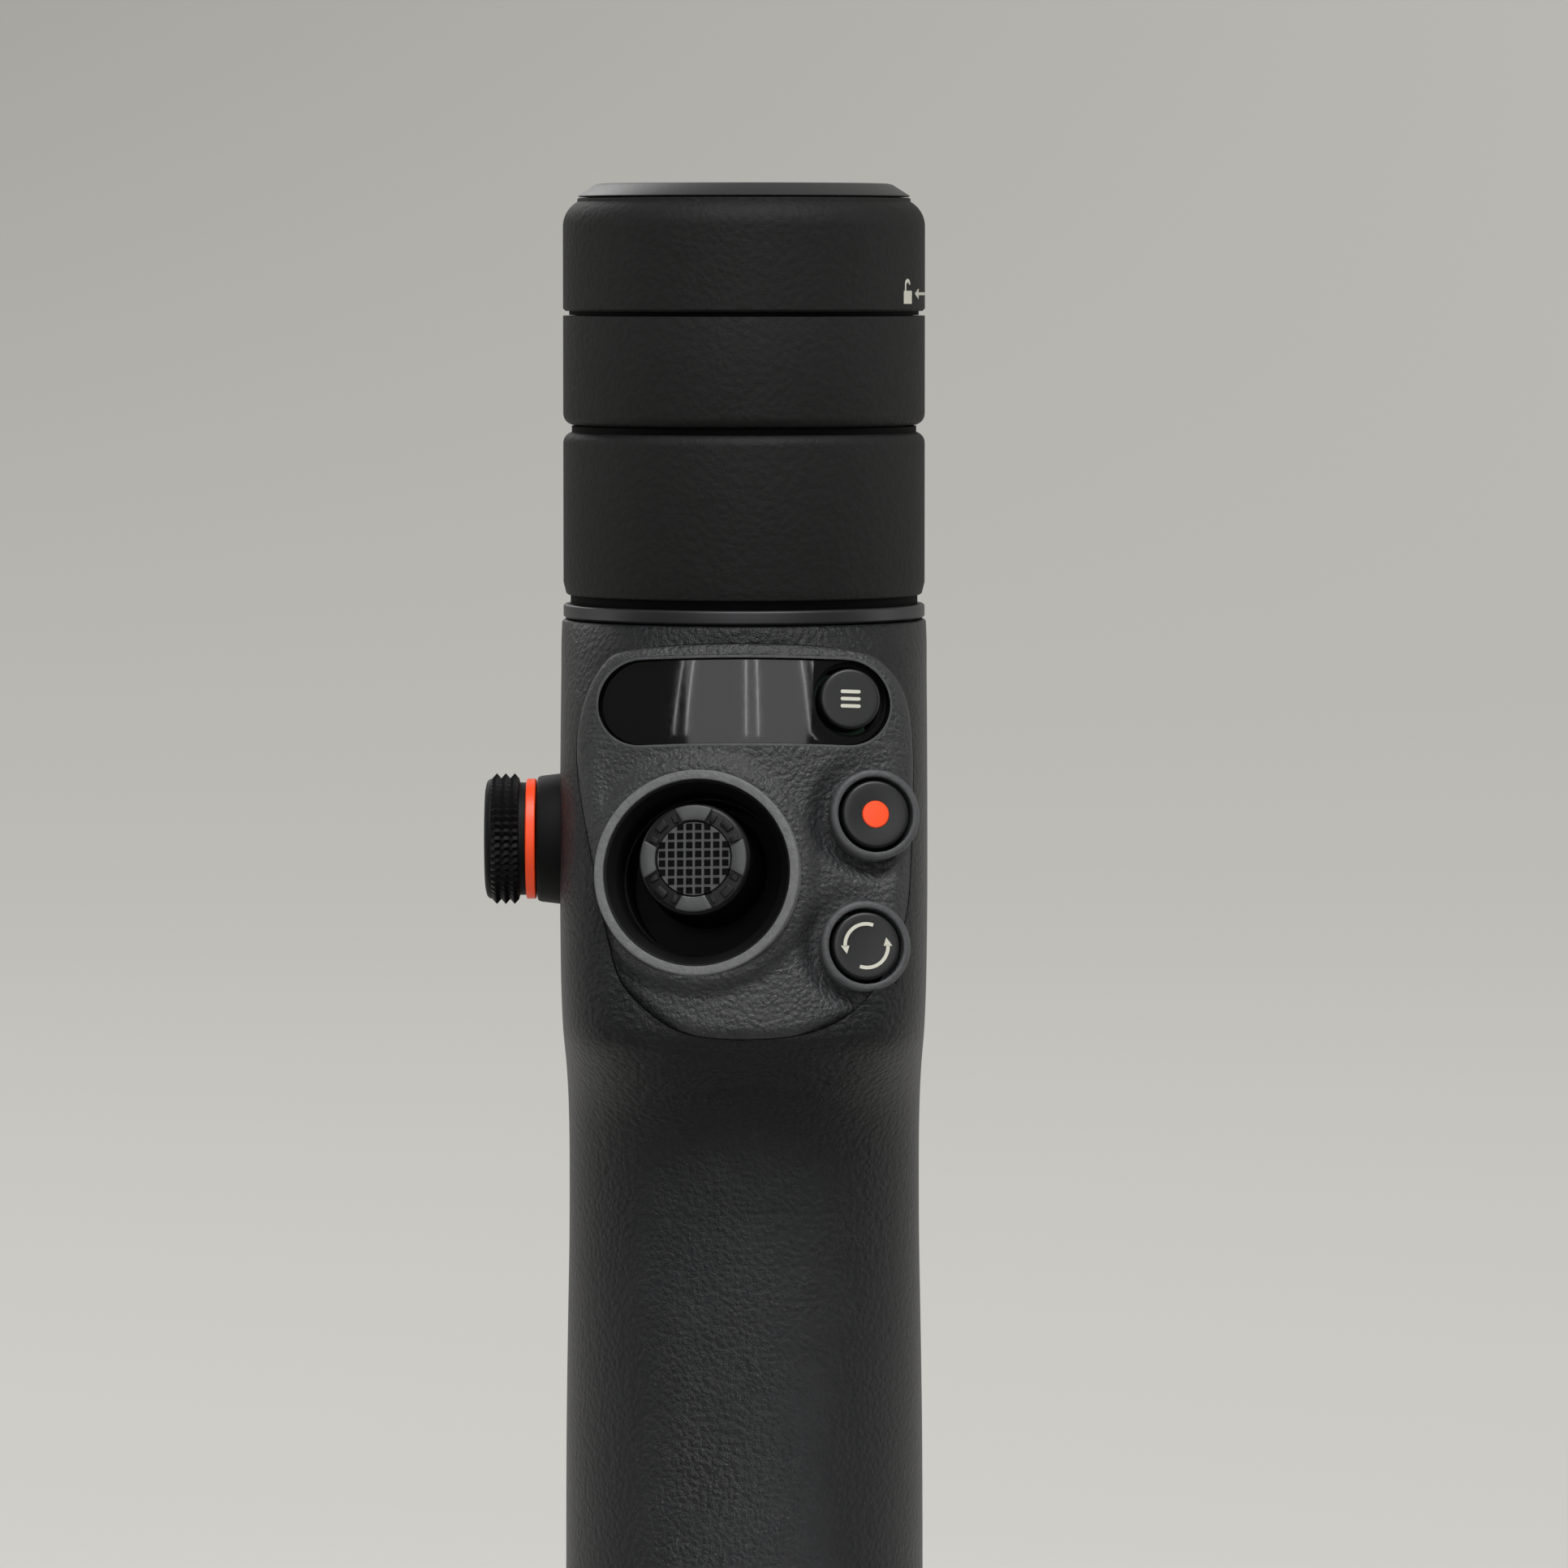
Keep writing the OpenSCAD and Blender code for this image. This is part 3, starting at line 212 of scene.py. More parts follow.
def turned(name, outline, steps):
    """A lathe part: an outline of radius and height, spun round the Z axis."""
    pick_only()
    bpy.ops.mesh.primitive_plane_add(size=2 * MM)
    piece = new_piece(name)
    bpy.ops.object.mode_set(mode="EDIT")
    bpy.ops.mesh.merge(type="CENTER")
    bpy.ops.transform.translate(value=(outline[0][0], 0, outline[0][1]))
    for a, b in zip(outline, outline[1:]):
        draw_out(b[0] - a[0], 0, b[1] - a[1])
    bpy.ops.mesh.select_all(action="SELECT")
    bpy.ops.mesh.spin(steps=steps, angle=math.tau, center=(0, 0, 0), axis=(0, 0, 1))
    bpy.ops.mesh.select_all(action="SELECT")
    bpy.ops.mesh.remove_doubles(threshold=0.002 * MM)
    bpy.ops.mesh.normals_make_consistent(inside=False)
    return close_mesh(piece)


def spaced(start, span, steps):
    """Evenly spaced values from a start over a span."""
    return [start + span * k / steps for k in range(steps + 1)]


def on_circle(r, angles, cx=0.0, cy=0.0):
    """A point on a circle for every angle."""
    return [(cx + r * math.cos(a), cy + r * math.sin(a)) for a in angles]


def arc(cx, cy, r, start, end, steps=8):
    """Points of a round between two angles in degrees."""
    return on_circle(r, [math.radians(a) for a in spaced(start, end - start, steps)], cx, cy)


def in_mm(*points, base=0.0):
    """Points of an outline, given in millimetres over a base."""
    return [(x * MM, base + y * MM) for x, y in points]


def plain(r, low, high, hole=0.0):
    """The lathe outline of a plain disc, or of a flat ring round a hole."""
    corners = [(hole, low), (r, low), (r, high), (hole, high)]
    return corners + corners[:1] if hole else corners


def dress(piece, material):
    """Gives a piece one material."""
    piece.data.materials.clear()
    piece.data.materials.append(material)


def keep(piece, body, material, slot, *stands_for, smooth=35):
    """Finishes a piece: smooth faces, its material, the body that it rides on."""
    settle(piece)
    bpy.ops.object.shade_smooth_by_angle(angle=math.radians(smooth))
    dress(piece, material)
    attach(piece, body)
    if stands_for:
        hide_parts(*stands_for)
    print(piece.name, len(piece.data.polygons), "faces")
    return piece


def lathe(name, outline, steps, *finish, place=None, smooth=35):
    """Turns a part, moves it to its place and finishes it."""
    return keep(settle(turned(name, outline, steps), place), *finish, smooth=smooth)


# %% [markdown]
# Colours are written as sRGB hex, as a colour picker gives them, and one function makes them
# linear for the shader. A material is a small node tree: the pattern reads Object coordinates, so
# it stays on the part when the part moves, and its scale is worked out from a real size.

# %% Material helpers


def colour(code):
    """An sRGB hex colour as linear RGBA."""
    parts = [int(code[i:i + 2], 16) / 255 for i in (1, 3, 5)]
    return [c / 12.92 if c <= 0.04045 else ((c + 0.055) / 1.055) ** 2.4 for c in parts] + [1.0]


def fill(made, settings):
    """Sets a node's inputs and its other values by name."""
    for key, value in settings.items():
        field = key.replace("_", " ")
        if field in made.inputs:
            made.inputs[field].default_value = value
        else:
            setattr(made, key, value)


def node(tree, kind, links=None, **settings):
    """Adds a node, sets its values, and links its inputs to others or to plain numbers."""
    made = tree.nodes.new("ShaderNode" + kind)
    fill(made, settings)
    for key, source in (links or {}).items():
        if isinstance(source, float):
            made.inputs[key].default_value = source
        else:
            tree.links.new(source, made.inputs[key])
    return made


def worked_out(tree, operation, *values):
    """A sum on sockets and plain numbers. Returns its output."""
    made = node(tree, "Math", dict(enumerate(values)), operation=operation)
    return made.outputs["Value"]


def noise(tree, place, size, detail=2.0):
    """A noise pattern with features of a real size."""
    return node(tree, "TexNoise", {"Vector": place}, Scale=1 / size, Detail=detail)


def toned(tree, value, *stops):
    """The colours between stops, each a place from 0 to 1 and a hex colour."""
    made = node(tree, "ValToRGB", {"Fac": value})
    for place, _ in stops[1:-1]:
        made.color_ramp.elements.new(place)
    for element, (place, code) in zip(made.color_ramp.elements, stops):
        element.position = place
        element.color = colour(code)
    return made.outputs["Color"]


def bumped(tree, surface, height, strength, depth):
    """Lets a pattern stand out of the surface by a real depth."""
    bump = node(tree, "Bump", {"Height": height}, Strength=strength, Distance=depth)
    tree.links.new(bump.outputs["Normal"], surface.inputs["Normal"])


def roughened(tree, surface, pattern, low, high):
    """Lets the roughness follow a pattern between two values."""
    span = node(tree, "MapRange", {"Value": pattern}, To_Min=low, To_Max=high)
    tree.links.new(span.outputs["Result"], surface.inputs["Roughness"])


def finish_of(name, base, roughness, **shader):
    """A new material: itself, its tree, its Principled shader and its Object coordinates."""
    material = bpy.data.materials.new(name)
    material.use_nodes = True
    tree = material.node_tree
    surface = tree.nodes["Principled BSDF"]
    fill(surface, {"Base Color": colour(base), "Roughness": roughness, "IOR": 1.5, **shader})
    return material, tree, surface, node(tree, "TexCoord").outputs["Object"]


# %% [markdown]
# The grip and the control panel are ABS with a leather grain moulded in. The tool that made them
# was etched, so the grain is a net of soft round pebbles about half a millimetre across, broken
# up by a slower wander. Voronoi cells give the pebbles, and noise bends their borders so that
# they don't look like tiles.

# %% Grained plastic
# sizes as shares of the grain's own size
WANDER, BEND, FINE = 2.2, 0.9, 0.25
PEBBLE_RISE, GRAIN_BUMP = -1.4, 0.55


def grained(name, base, light, grain, depth, roughness, gloss):
    """Moulded ABS with a leather grain, its size and depth in millimetres."""
    grain *= MM
    material, tree, surface, place = finish_of(name, base, roughness, Specular_IOR_Level=gloss)
    wander = noise(tree, place, WANDER * grain, 3.0)
    bend = node(tree, "VectorMath", {0: wander.outputs["Color"]},
                operation="SCALE", Scale=BEND * grain)
    moved = node(tree, "VectorMath", {0: place, 1: bend.outputs["Vector"]},
                 operation="ADD")
    pebble = node(tree, "TexVoronoi", {"Vector": moved.outputs["Vector"]},
                  feature="SMOOTH_F1", Scale=1 / grain, Smoothness=0.6)
    fine = noise(tree, place, FINE * grain)
    height = worked_out(tree, "MULTIPLY_ADD", pebble.outputs["Distance"], PEBBLE_RISE,
                        fine.outputs["Fac"])
    bumped(tree, surface, height, GRAIN_BUMP, depth * MM)
    tone = toned(tree, wander.outputs["Fac"], (0.35, base), (0.75, light))
    tree.links.new(tone, surface.inputs["Base Color"])
    return material


casing_abs = grained("grained ABS, charcoal", "#101113", "#141517", 0.6, 0.22, 0.4, 0.3)
panel_abs = grained("grained ABS, grey", "#1e1f21", "#232426", 0.5, 0.2, 0.4, 0.6)
# painted highlight: the panel's grey made much lighter for the crest of the joystick's lip
crest_highlight_abs = grained("grained ABS, panel grey painted lighter as lit", "#5e5f60", "#68696a", 0.4, 0.08, 0.5, 0.4)
# painted highlight: the panel's grey made lighter for the lit crests of the key collars and the
# display's rim
collar_highlight_abs = grained("grained ABS, panel grey painted lighter as highlight", "#414244", "#48494b", 0.4, 0.06, 0.48, 0.45)
puck_abs = grained("soft touch ABS, dark grey", "#191919", "#1b1b1b", 0.7, 0.1, 0.62, 0.2)
print("materials so far:", len(bpy.data.materials))

# %% [markdown]
# The other finishes are plainer. Satin and matte black plastics get a very fine speckle, the
# display lens is polished acrylic with a hard coat, the ring at the rod's head is blasted
# aluminium, and the metal parts inside are turned or drawn.

# %% Other finishes
SPECKLE_SPAN, SPECKLE_BUMP = 0.06, 0.4
LINE_W, LINE_L, LINE_BUMP = 0.15 * MM, 12 * MM, 0.25


def speckled(name, base, roughness, grit, depth, **shader):
    """A moulded or blasted surface with a fine speckle, its size and depth in millimetres."""
    material, tree, surface, place = finish_of(name, base, roughness, **shader)
    grains = noise(tree, place, grit * MM).outputs["Fac"]
    bumped(tree, surface, grains, SPECKLE_BUMP, depth * MM)
    roughened(tree, surface, grains, max(roughness - SPECKLE_SPAN, 0.02), roughness + SPECKLE_SPAN)
    return material


def brushed(name, base, roughness, along):
    """Metal with fine turning or drawing lines, stretched along an axis."""
    material, tree, surface, place = finish_of(name, base, roughness, Metallic=1.0)
    scale = [1 / LINE_W] * 3
    scale[along] = 1 / LINE_L
    lines = node(tree, "Mapping", {"Vector": place}, Scale=scale)
    grains = noise(tree, lines.outputs["Vector"], 1).outputs["Fac"]
    roughened(tree, surface, grains, roughness - 0.08, roughness + 0.12)
    bumped(tree, surface, grains, LINE_BUMP, 0.01 * MM)
    return material


black_matte = speckled("matte black plastic", "#09090a", 0.62, 0.25, 0.02, Specular_IOR_Level=0.2)
# painted shade: a near-black for the gaps, joints and hollows where shade falls
shade_black = speckled("matte black plastic, painted shade", "#030303", 0.7, 0.25, 0.02,
                      Specular_IOR_Level=0.08)
black_satin = speckled("satin black plastic", "#08080a", 0.42, 0.2, 0.006, Specular_IOR_Level=0.3)
button_abs = speckled("satin ABS, charcoal", "#131415", 0.42, 0.18, 0.008)
lug_and_lit_web_satin = speckled("satin PC, mid grey", "#3c3d3e", 0.36, 0.3, 0.006)
cap_satin = speckled("satin PC, dark grey", "#202122", 0.45, 0.3, 0.006)
orange_abs = speckled("satin ABS, orange", "#fb4a12", 0.42, 0.2, 0.006)
ring_alu = speckled("blasted aluminium, grey", "#3a3a3c", 0.45, 0.15, 0.006, Metallic=0.7)
lens_acrylic = speckled("hard coated acrylic, black", "#060607", 0.09, 3, 0.002,
                        Coat_Weight=0.35, Coat_Roughness=0.04)
icon_paint = speckled("pad printed paint, light grey", "#c4c3b6", 0.55, 0.1, 0.004)
steel = brushed("turned steel", "#b8babd", 0.3, 0)
rod_alu = brushed("drawn aluminium, anodised", "#8b8d90", 0.34, 2)
copper = brushed("enamelled copper", "#b4683c", 0.35, 2)
circuit = speckled("solder mask, green", "#1d5a3c", 0.3, 0.8, 0.01)
film = speckled("battery film, grey", "#8f9194", 0.35, 1.5, 0.02)
nickel = brushed("nickel plated magnet", "#a9aaac", 0.25, 0)
print("materials so far:", len(bpy.data.materials))

# %% [markdown]
# Every solid that stays gets its finish by name. The pieces inside are seen only when the casing
# is opened, and are still finished.

# %% Finishes of the solids that stay
FINISHES = [
    (steel, "joystick_cross button_switches power_switch trigger_pin usb_port handle_screws "
            "tripod_insert pan_bearings pan_shaft shoulder_pin elbow_pin roll_bearings roll_shaft "
            "tilt_bearing tilt_shaft"),
    (rod_alu, "rod_sleeve rod_middle rod_inner"),
    (ring_alu, "rod_head"),
    (copper, "pan_stator roll_stator tilt_stator"),
    (nickel, "pan_magnet_ring roll_magnet_ring plate_magnets phone_plate"),
    (circuit, "display_board button_board main_board pan_board"),
    (film, "battery_cell"),
    (casing_abs, "handle_front_shell handle_rear_shell base_cap trigger power_button"),
    (panel_abs, "control_panel"),
    (lens_acrylic, "display_lens"),
    (black_matte, "joystick_bezel joystick_base side_wheel_base"),
    (black_satin, "joystick_cap side_wheel"),
    (button_abs, "mode_button record_button flip_button"),
    (orange_abs, "record_dot side_wheel_ring"),
    (puck_abs, "pan_housing pan_rotor_shell lock_ring lock_cap arm_shell arm_cover "
               "roll_housing roll_bracket tilt_housing tilt_rotor"),
]
for finish, names in FINISHES:
    for name in names.split():
        dress(nodes[name], finish)
print("finished solids:", sum(len(names.split()) for _, names in FINISHES))

# %% [markdown]
# The grip is two moulded shells that meet on the sides. Its section is a squircle: rounder at the
# foot, squarer behind the controls, where the front also bulges out towards the thumb. Such a
# form is a loft, so a circle is extruded upwards level by level and every level is then given its
# own width, depths and squareness. The levels are read off a smooth curve through a few known
# sections, so no crease shows between them.

# %% The sections of the grip
TOP_Z = HANDLE_H
HEAD_H = 52.9 * MM
GRIP_H = TOP_Z - HEAD_H
# height in the grip as a share, half width, front and rear depth as shares, squareness
GRIP_SECTIONS = [
    (0.000, 0.940, 0.940, 0.940, 2.2), (0.006, 0.965, 0.970, 0.970, 2.2),
    (0.019, 0.980, 0.985, 0.990, 2.2), (0.035, 0.983, 0.990, 0.996, 2.2),
    (0.060, 0.984, 0.993, 1.002, 2.2), (0.110, 0.985, 0.999, 1.012, 2.2),
    (0.235, 0.985, 1.010, 1.030, 2.3),
    (0.471, 0.985, 1.055, 1.045, 2.3), (0.659, 0.980, 1.075, 1.040, 2.3),
    (0.785, 0.970, 1.055, 1.035, 2.4), (0.863, 0.963, 1.015, 1.035, 2.5),
    (0.926, 0.961, 0.995, 1.030, 2.6), (1.000, 0.962, 1.025, 1.030, 2.8)]
# height in the head as a share, half width, millimetres behind the face, rear depth, squareness
HEAD_SECTIONS = [
    (0.064, 0.966, 8.00, 1.030, 3.0), (0.127, 0.973, 4.70, 1.030, 3.5),
    (0.170, 0.980, 2.10, 1.030, 4.0), (0.198, 0.984, 0.75, 1.030, 4.4),
    (0.225, 0.987, 0.15, 1.030, 4.6), (0.257, 0.990, 0.00, 1.030, 4.8),
    (0.406, 0.998, 0.00, 1.030, 4.8), (0.578, 1.000, 0.00, 1.030, 4.7),
    (0.715, 1.000, 0.00, 1.020, 4.3), (0.822, 1.000, 0.00, 1.010, 3.6),
    (0.904, 1.000, 0.00, 1.004, 2.8), (0.964, 1.000, 0.00, 1.002, 2.3),
    (1.000, 0.996, 0.00, 1.000, 2.0)]

sections = [(s * GRIP_H, w * HALF_W, f * HALF_W, r * HALF_W, e) for s, w, f, r, e in GRIP_SECTIONS]
for share, width, setback, rear, squareness in HEAD_SECTIONS:
    z = TOP_Z - (1 - share) * HEAD_H
    face = HALF_W + (TOP_Z - z) * math.tan(TILT)
    sections.append((z, width * HALF_W, face - setback * MM, rear * HALF_W, squareness))
sections = np.array(sections)
slopes = np.gradient(sections, sections[:, 0], axis=0)


def section_at(z):
    """Half width, front depth, rear depth and squareness at a height, on a smooth curve."""
    i = int(np.clip(np.searchsorted(sections[:, 0], z) - 1, 0, len(sections) - 2))
    a, b = sections[i], sections[i + 1]
    span = b[0] - a[0]
    t = min(max((z - a[0]) / span, 0), 1)
    curve = (a * (2 * t ** 3 - 3 * t ** 2 + 1) + slopes[i] * span * (t ** 3 - 2 * t ** 2 + t)
             + b * (3 * t ** 2 - 2 * t ** 3) + slopes[i + 1] * span * (t ** 3 - t ** 2))
    return curve[1:]


print("sections:", len(sections))
print("half width at mid height, mm:", round(section_at(TOP_Z / 2)[0] / MM, 2))

# %% Loft helpers


def loft(name, sides, levels):
    """An open tube of unit radius with a ring of vertices at every level."""
    pick_only()
    bpy.ops.mesh.primitive_circle_add(vertices=sides, radius=1, location=(0, 0, levels[0]))
    piece = settle(new_piece(name))
    open_mesh(piece)
    for low, high in zip(levels, levels[1:]):
        draw_out(0, 0, high - low)
    return close_mesh(piece)


def shape(piece, move):
    """Moves every vertex of a piece by a rule on its place."""
    points = np.empty(len(piece.data.vertices) * 3)
    piece.data.vertices.foreach_get("co", points)
    moved = np.array([move(*p) for p in points.reshape(-1, 3)])
    piece.data.vertices.foreach_set("co", moved.ravel())
    piece.data.update()
    return piece


def tidy(piece):
    """Merges doubled vertices and turns the faces outwards."""
    open_mesh(piece)
    bpy.ops.mesh.remove_doubles(threshold=0.001 * MM)
    bpy.ops.mesh.normals_make_consistent(inside=False)
    return close_mesh(piece)


# %% [markdown]
# The loft has some 150 levels, close together where the front bulges. The top is closed by
# drawing the last ring in to the hole for the rod. The surface then gets the wall thickness of
# the moulding, and the openings are cut: the control panel, the scoop round the side wheel, the
# trigger's slot, the side button and the charging inlet.

# %% Grip skin
WALL = 1.8 * MM
ROD_HOLE_R = 8.6 * MM
LIP = 0.35 * MM
GRIP_SIDES, GRIP_LEVELS, HEAD_LEVELS = 176, 60, 90
# a last level over the top, which is drawn in to the hole for the rod
MOUTH_Z = TOP_Z + 10 * MM
levels = sorted({0.0, 0.4 * MM, 0.9 * MM, 1.5 * MM, TOP_Z - LIP, TOP_Z - 0.15 * MM, TOP_Z}
                | {float(z) for z in np.linspace(3 * MM, GRIP_H, GRIP_LEVELS)}
                | {float(z) for z in np.linspace(GRIP_H + MM, TOP_Z - MM, HEAD_LEVELS)})


def grip_point(x, y, z):
    """A point of the casing from a point of the unit tube."""
    if z > (TOP_Z + MOUTH_Z) / 2:
        return x * ROD_HOLE_R, y * ROD_HOLE_R, TOP_Z
    width, front, rear, squareness = section_at(z)
    rise = max((z - TOP_Z + LIP) / LIP, 0)
    draw = LIP * (1 - math.sqrt(max(1 - rise ** 2, 0)))
    power = 2 / squareness
    depth = front if y < 0 else rear
    return ((width - draw) * math.copysign(abs(x) ** power, x),
            (depth - draw) * math.copysign(abs(y) ** power, y), z)


grip = loft("grip_skin", GRIP_SIDES, levels + [MOUTH_Z])
tidy(shape(grip, grip_point))
modify(grip, "SOLIDIFY", thickness=WALL, offset=-1, use_even_offset=True)
print("grip skin:", len(grip.data.polygons), "faces")

# %% [markdown]
# The outline of the control panel is a rounded shield. It is one closed curve through 25 points,
# given as shares of the panel's width and height, and both the opening in the grip and the panel
# itself are drawn from it, so the seam between them is even all the way round.

# %% Outline of the control panel
PANEL_SHARES = [
    (-0.28, 0.004), (-0.47, 0.041), (-0.67, 0.115), (-0.75, 0.180), (-0.81, 0.300),
    (-0.87, 0.430), (-0.93, 0.560), (-0.98, 0.690), (-0.98, 0.780), (-0.96, 0.852),
    (-0.88, 0.942), (-0.77, 0.988), (-0.61, 1.010), (0.55, 1.010), (0.77, 0.988),
    (0.91, 0.937), (0.98, 0.862), (1.00, 0.760), (1.00, 0.620), (0.98, 0.400),
    (0.955, 0.306), (0.85, 0.190), (0.705, 0.087), (0.447, 0.018), (0.117, 0.000)]
OUTLINE_STEPS = 8
ROUNDING = 6


def panel_loop(inset):
    """The panel's outline in its own plane, drawn in by an inset."""
    half_w = PANEL_HALF_W - inset
    height = PANEL_H / math.cos(TILT) - 2 * inset
    points = np.array(PANEL_SHARES)
    loop = []
    for i in range(len(points)):
        a, b, c, d = (points[(i + k) % len(points)] for k in (-1, 0, 1, 2))
        for k in range(OUTLINE_STEPS):
            t = k / OUTLINE_STEPS
            p = 0.5 * (2 * b + (c - a) * t + (2 * a - 5 * b + 4 * c - d) * t ** 2
                       + (3 * b - 3 * c + d - a) * t ** 3)
            loop.append((p[0] * half_w, (p[1] - 0.5) * height))
    loop = np.array(loop)
    near = range(-ROUNDING, ROUNDING + 1)
    return (sum(np.roll(loop, k, axis=0) for k in near) / len(near)).tolist()


def prism(name, loop, low, high):
    """An upright prism on a closed outline."""
    pick_only()
    bpy.ops.mesh.primitive_circle_add(vertices=len(loop), radius=1, fill_type="NGON")
    piece = new_piece(name)
    for vertex, (x, y) in zip(piece.data.vertices, loop):
        vertex.co = (x, y, low)
    open_mesh(piece)
    draw_out(0, 0, high - low)
    return tidy(close_mesh(piece))


PANEL_PLACE = on_panel(0, PANEL_MID_Z)
STICK_X, STICK_Z = -4.65 * MM, HANDLE_H - 24.95 * MM
STICK_PLACE = on_panel(STICK_X, STICK_Z, math.asin(STICK_X / PANEL_R))
BUTTONS_PLACE = on_panel(12.95 * MM, HANDLE_H - 25.9 * MM, math.radians(12))
RECORD_PLACE = BUTTONS_PLACE @ at(0.5 * MM, 6.8 * MM)
FLIP_PLACE = BUTTONS_PLACE @ at(-0.5 * MM, -6.8 * MM)
KEY_PLACES = (RECORD_PLACE, FLIP_PLACE)
DISPLAY_Z = HANDLE_H - 7.4 * MM
MODE_PLACE = on_panel(11 * MM, DISPLAY_Z, math.radians(12))
DISPLAY_PLACE = on_panel(0, DISPLAY_Z)
WHEEL_PLACE = at(-18.6 * MM, -5 * MM, HANDLE_H - 22.9 * MM) @ about("Y", -math.pi / 2)
print("outline of the panel:", len(panel_loop(0)), "points")

# %% Openings in the grip
SEAM = 0.06 * MM
SCOOP_R, HUB_R, POWER_R = 7.3 * MM, 4.05 * MM, 3.45 * MM
TRIGGER_Y, TRIGGER_Z = HALF_W - 3 * MM, HANDLE_H - 18.4 * MM
POWER_Y, POWER_Z = 5 * MM, 0.54 * HANDLE_H
opening = prism("opening", panel_loop(-SEAM), -7 * MM, 8 * MM)
cut(grip, settle(opening, PANEL_PLACE))
bore(grip, SCOOP_R, WHEEL_PLACE, 0, 20 * MM)
bore(grip, HUB_R, WHEEL_PLACE, -6 * MM, 2 * MM)
cut(grip, block("trigger slot", (-5 * MM, TRIGGER_Y - 2.4 * MM, TRIGGER_Z - 19 * MM),
                (5 * MM, 40 * MM, TRIGGER_Z + 2.9 * MM)))
bore(grip, POWER_R, at(15.5 * MM, POWER_Y, POWER_Z) @ about("Y", math.pi / 2), 0, 6 * MM)


def stadium_loop(length, width, steps=24):
    """A rounded bar lying along X."""
    half, r = (length - width) / 2, width / 2
    angles = spaced(0, math.pi, steps)
    right = [(half + r * math.sin(a), -r * math.cos(a)) for a in angles]
    left = [(-half - r * math.sin(a), r * math.cos(a)) for a in angles]
    return right + left


PORT_Y, PORT_Z = 4 * MM, HANDLE_H / 3
port_hole = prism("port hole", stadium_loop(9.1 * MM, 3.4 * MM), 0, 6 * MM)
cut(grip, settle(port_hole, at(15 * MM, PORT_Y, PORT_Z) @ about("Y", math.pi / 2)))
keep(grip, "handle", casing_abs, "grained_casing", "handle_front_shell", "handle_rear_shell",
     smooth=28)

# %% [markdown]
# The control panel is a separate moulding, curved like a barrel and a little proud of the grip.
# Its skin starts as a round disc made of rings. Every ring is given the shield's outline and sinks
# with the barrel. The rim is rolled over and, on the left and right, lifted until it is nearly
# flush with the grip. The ground swells up to the joystick's ring, and a shallow dish lies beside
# each of the two keys, where the thumb comes in.

# %% Control panel skin
# millimetres from the rim, for the rings of the rolled edge
RINGS = [0, 0.06, 0.15, 0.3, 0.5, 0.75, 1.0, 1.3, 1.7]
# shares of the disc's radius: between those rings, and at the end of the rolled edge
RING_STEP, EDGE_SHARE = 0.01, 0.905
INNER = 46
ROLL, ROLL_DEPTH = 1.3 * MM, 0.85 * MM
FLUSH_DROP, FLUSH_REACH, FLUSH_FROM = 0.1 * MM, 4 * MM, 11 * MM
SWELL, SWELL_R, SWELL_REACH = 0.8 * MM, 12.9 * MM, 1.9 * MM
DISH, DISH_R, DISH_REACH, DISH_WAY = 1.3 * MM, 7.3 * MM, 2.3 * MM, (0.55, 0.83)
SKIRT = 2 * MM
n_outline = len(PANEL_SHARES) * OUTLINE_STEPS
angle_step = math.tau / n_outline
radii = ([1 - RING_STEP * k for k in range(len(RINGS))]
         + [0.9 * (1 - k / INNER) for k in range(INNER)])


def disc(name, sides, radii):
    """A disc of rings, from the rim inwards, closed at its middle."""
    pick_only()
    bpy.ops.mesh.primitive_circle_add(vertices=sides, radius=radii[0])
    piece = new_piece(name)
    open_mesh(piece)
    for outer, inner in zip(radii, radii[1:]):
        bpy.ops.mesh.extrude_region_move()
        bpy.ops.transform.resize(value=(inner / outer, inner / outer, 1))
    bpy.ops.mesh.extrude_region_move()
    bpy.ops.mesh.merge(type="CENTER")
    return close_mesh(piece)


def on_face(place):
    """Where a control's middle lies in the panel's own plane."""
    spot = PANEL_PLACE.inverted() @ place.translation
    return spot.x, spot.y


def ease(t):
    """A smooth step from 0 to 1."""
    t = min(max(t, 0), 1)
    return t * t * (3 - 2 * t)


stick_spot, *key_spots = (on_face(p) for p in (STICK_PLACE, *KEY_PLACES))
loops = [np.array(panel_loop(r * MM)) for r in RINGS]


def grip_height(x, y):
    """Height of the grip's surface over the panel's plane."""
    base = PANEL_PLACE @ Vector((x, y, 0))
    lift = 0.0
    for _ in range(4):
        z = min(base.z + lift * math.sin(TILT), TOP_Z)
        width, front, _, squareness = section_at(z)
        depth = front * (1 - min(abs(x) / width, 1) ** squareness) ** (1 / squareness)
        lift = (depth + base.y) / math.cos(TILT)
    return lift


def panel_height(x, y, inset):
    """Height of the panel's skin over its own plane."""
    r = math.hypot(x - stick_spot[0], y - stick_spot[1])
    height = -face_drop(x) + SWELL * ease((SWELL_R - r) / SWELL_REACH)
    for spot in key_spots:
        dx, dy = x - spot[0], y - spot[1]
        gap = math.hypot(dx, dy)
        towards = 0.5 - 0.5 * (DISH_WAY[0] * dx + DISH_WAY[1] * dy) / max(gap, 0.1 * MM)
        height -= DISH * towards * ease((DISH_R - gap) / DISH_REACH)
    if inset < ROLL:
        height -= ROLL_DEPTH * (1 - math.sqrt(1 - (1 - inset / ROLL) ** 2))
    flush = grip_height(x, y) - FLUSH_DROP
    beside = (ease((FLUSH_REACH - inset) / (FLUSH_REACH - 0.5 * MM))
              * ease((abs(x) - FLUSH_FROM) / FLUSH_REACH))
    return height + max(flush - height, 0) * beside


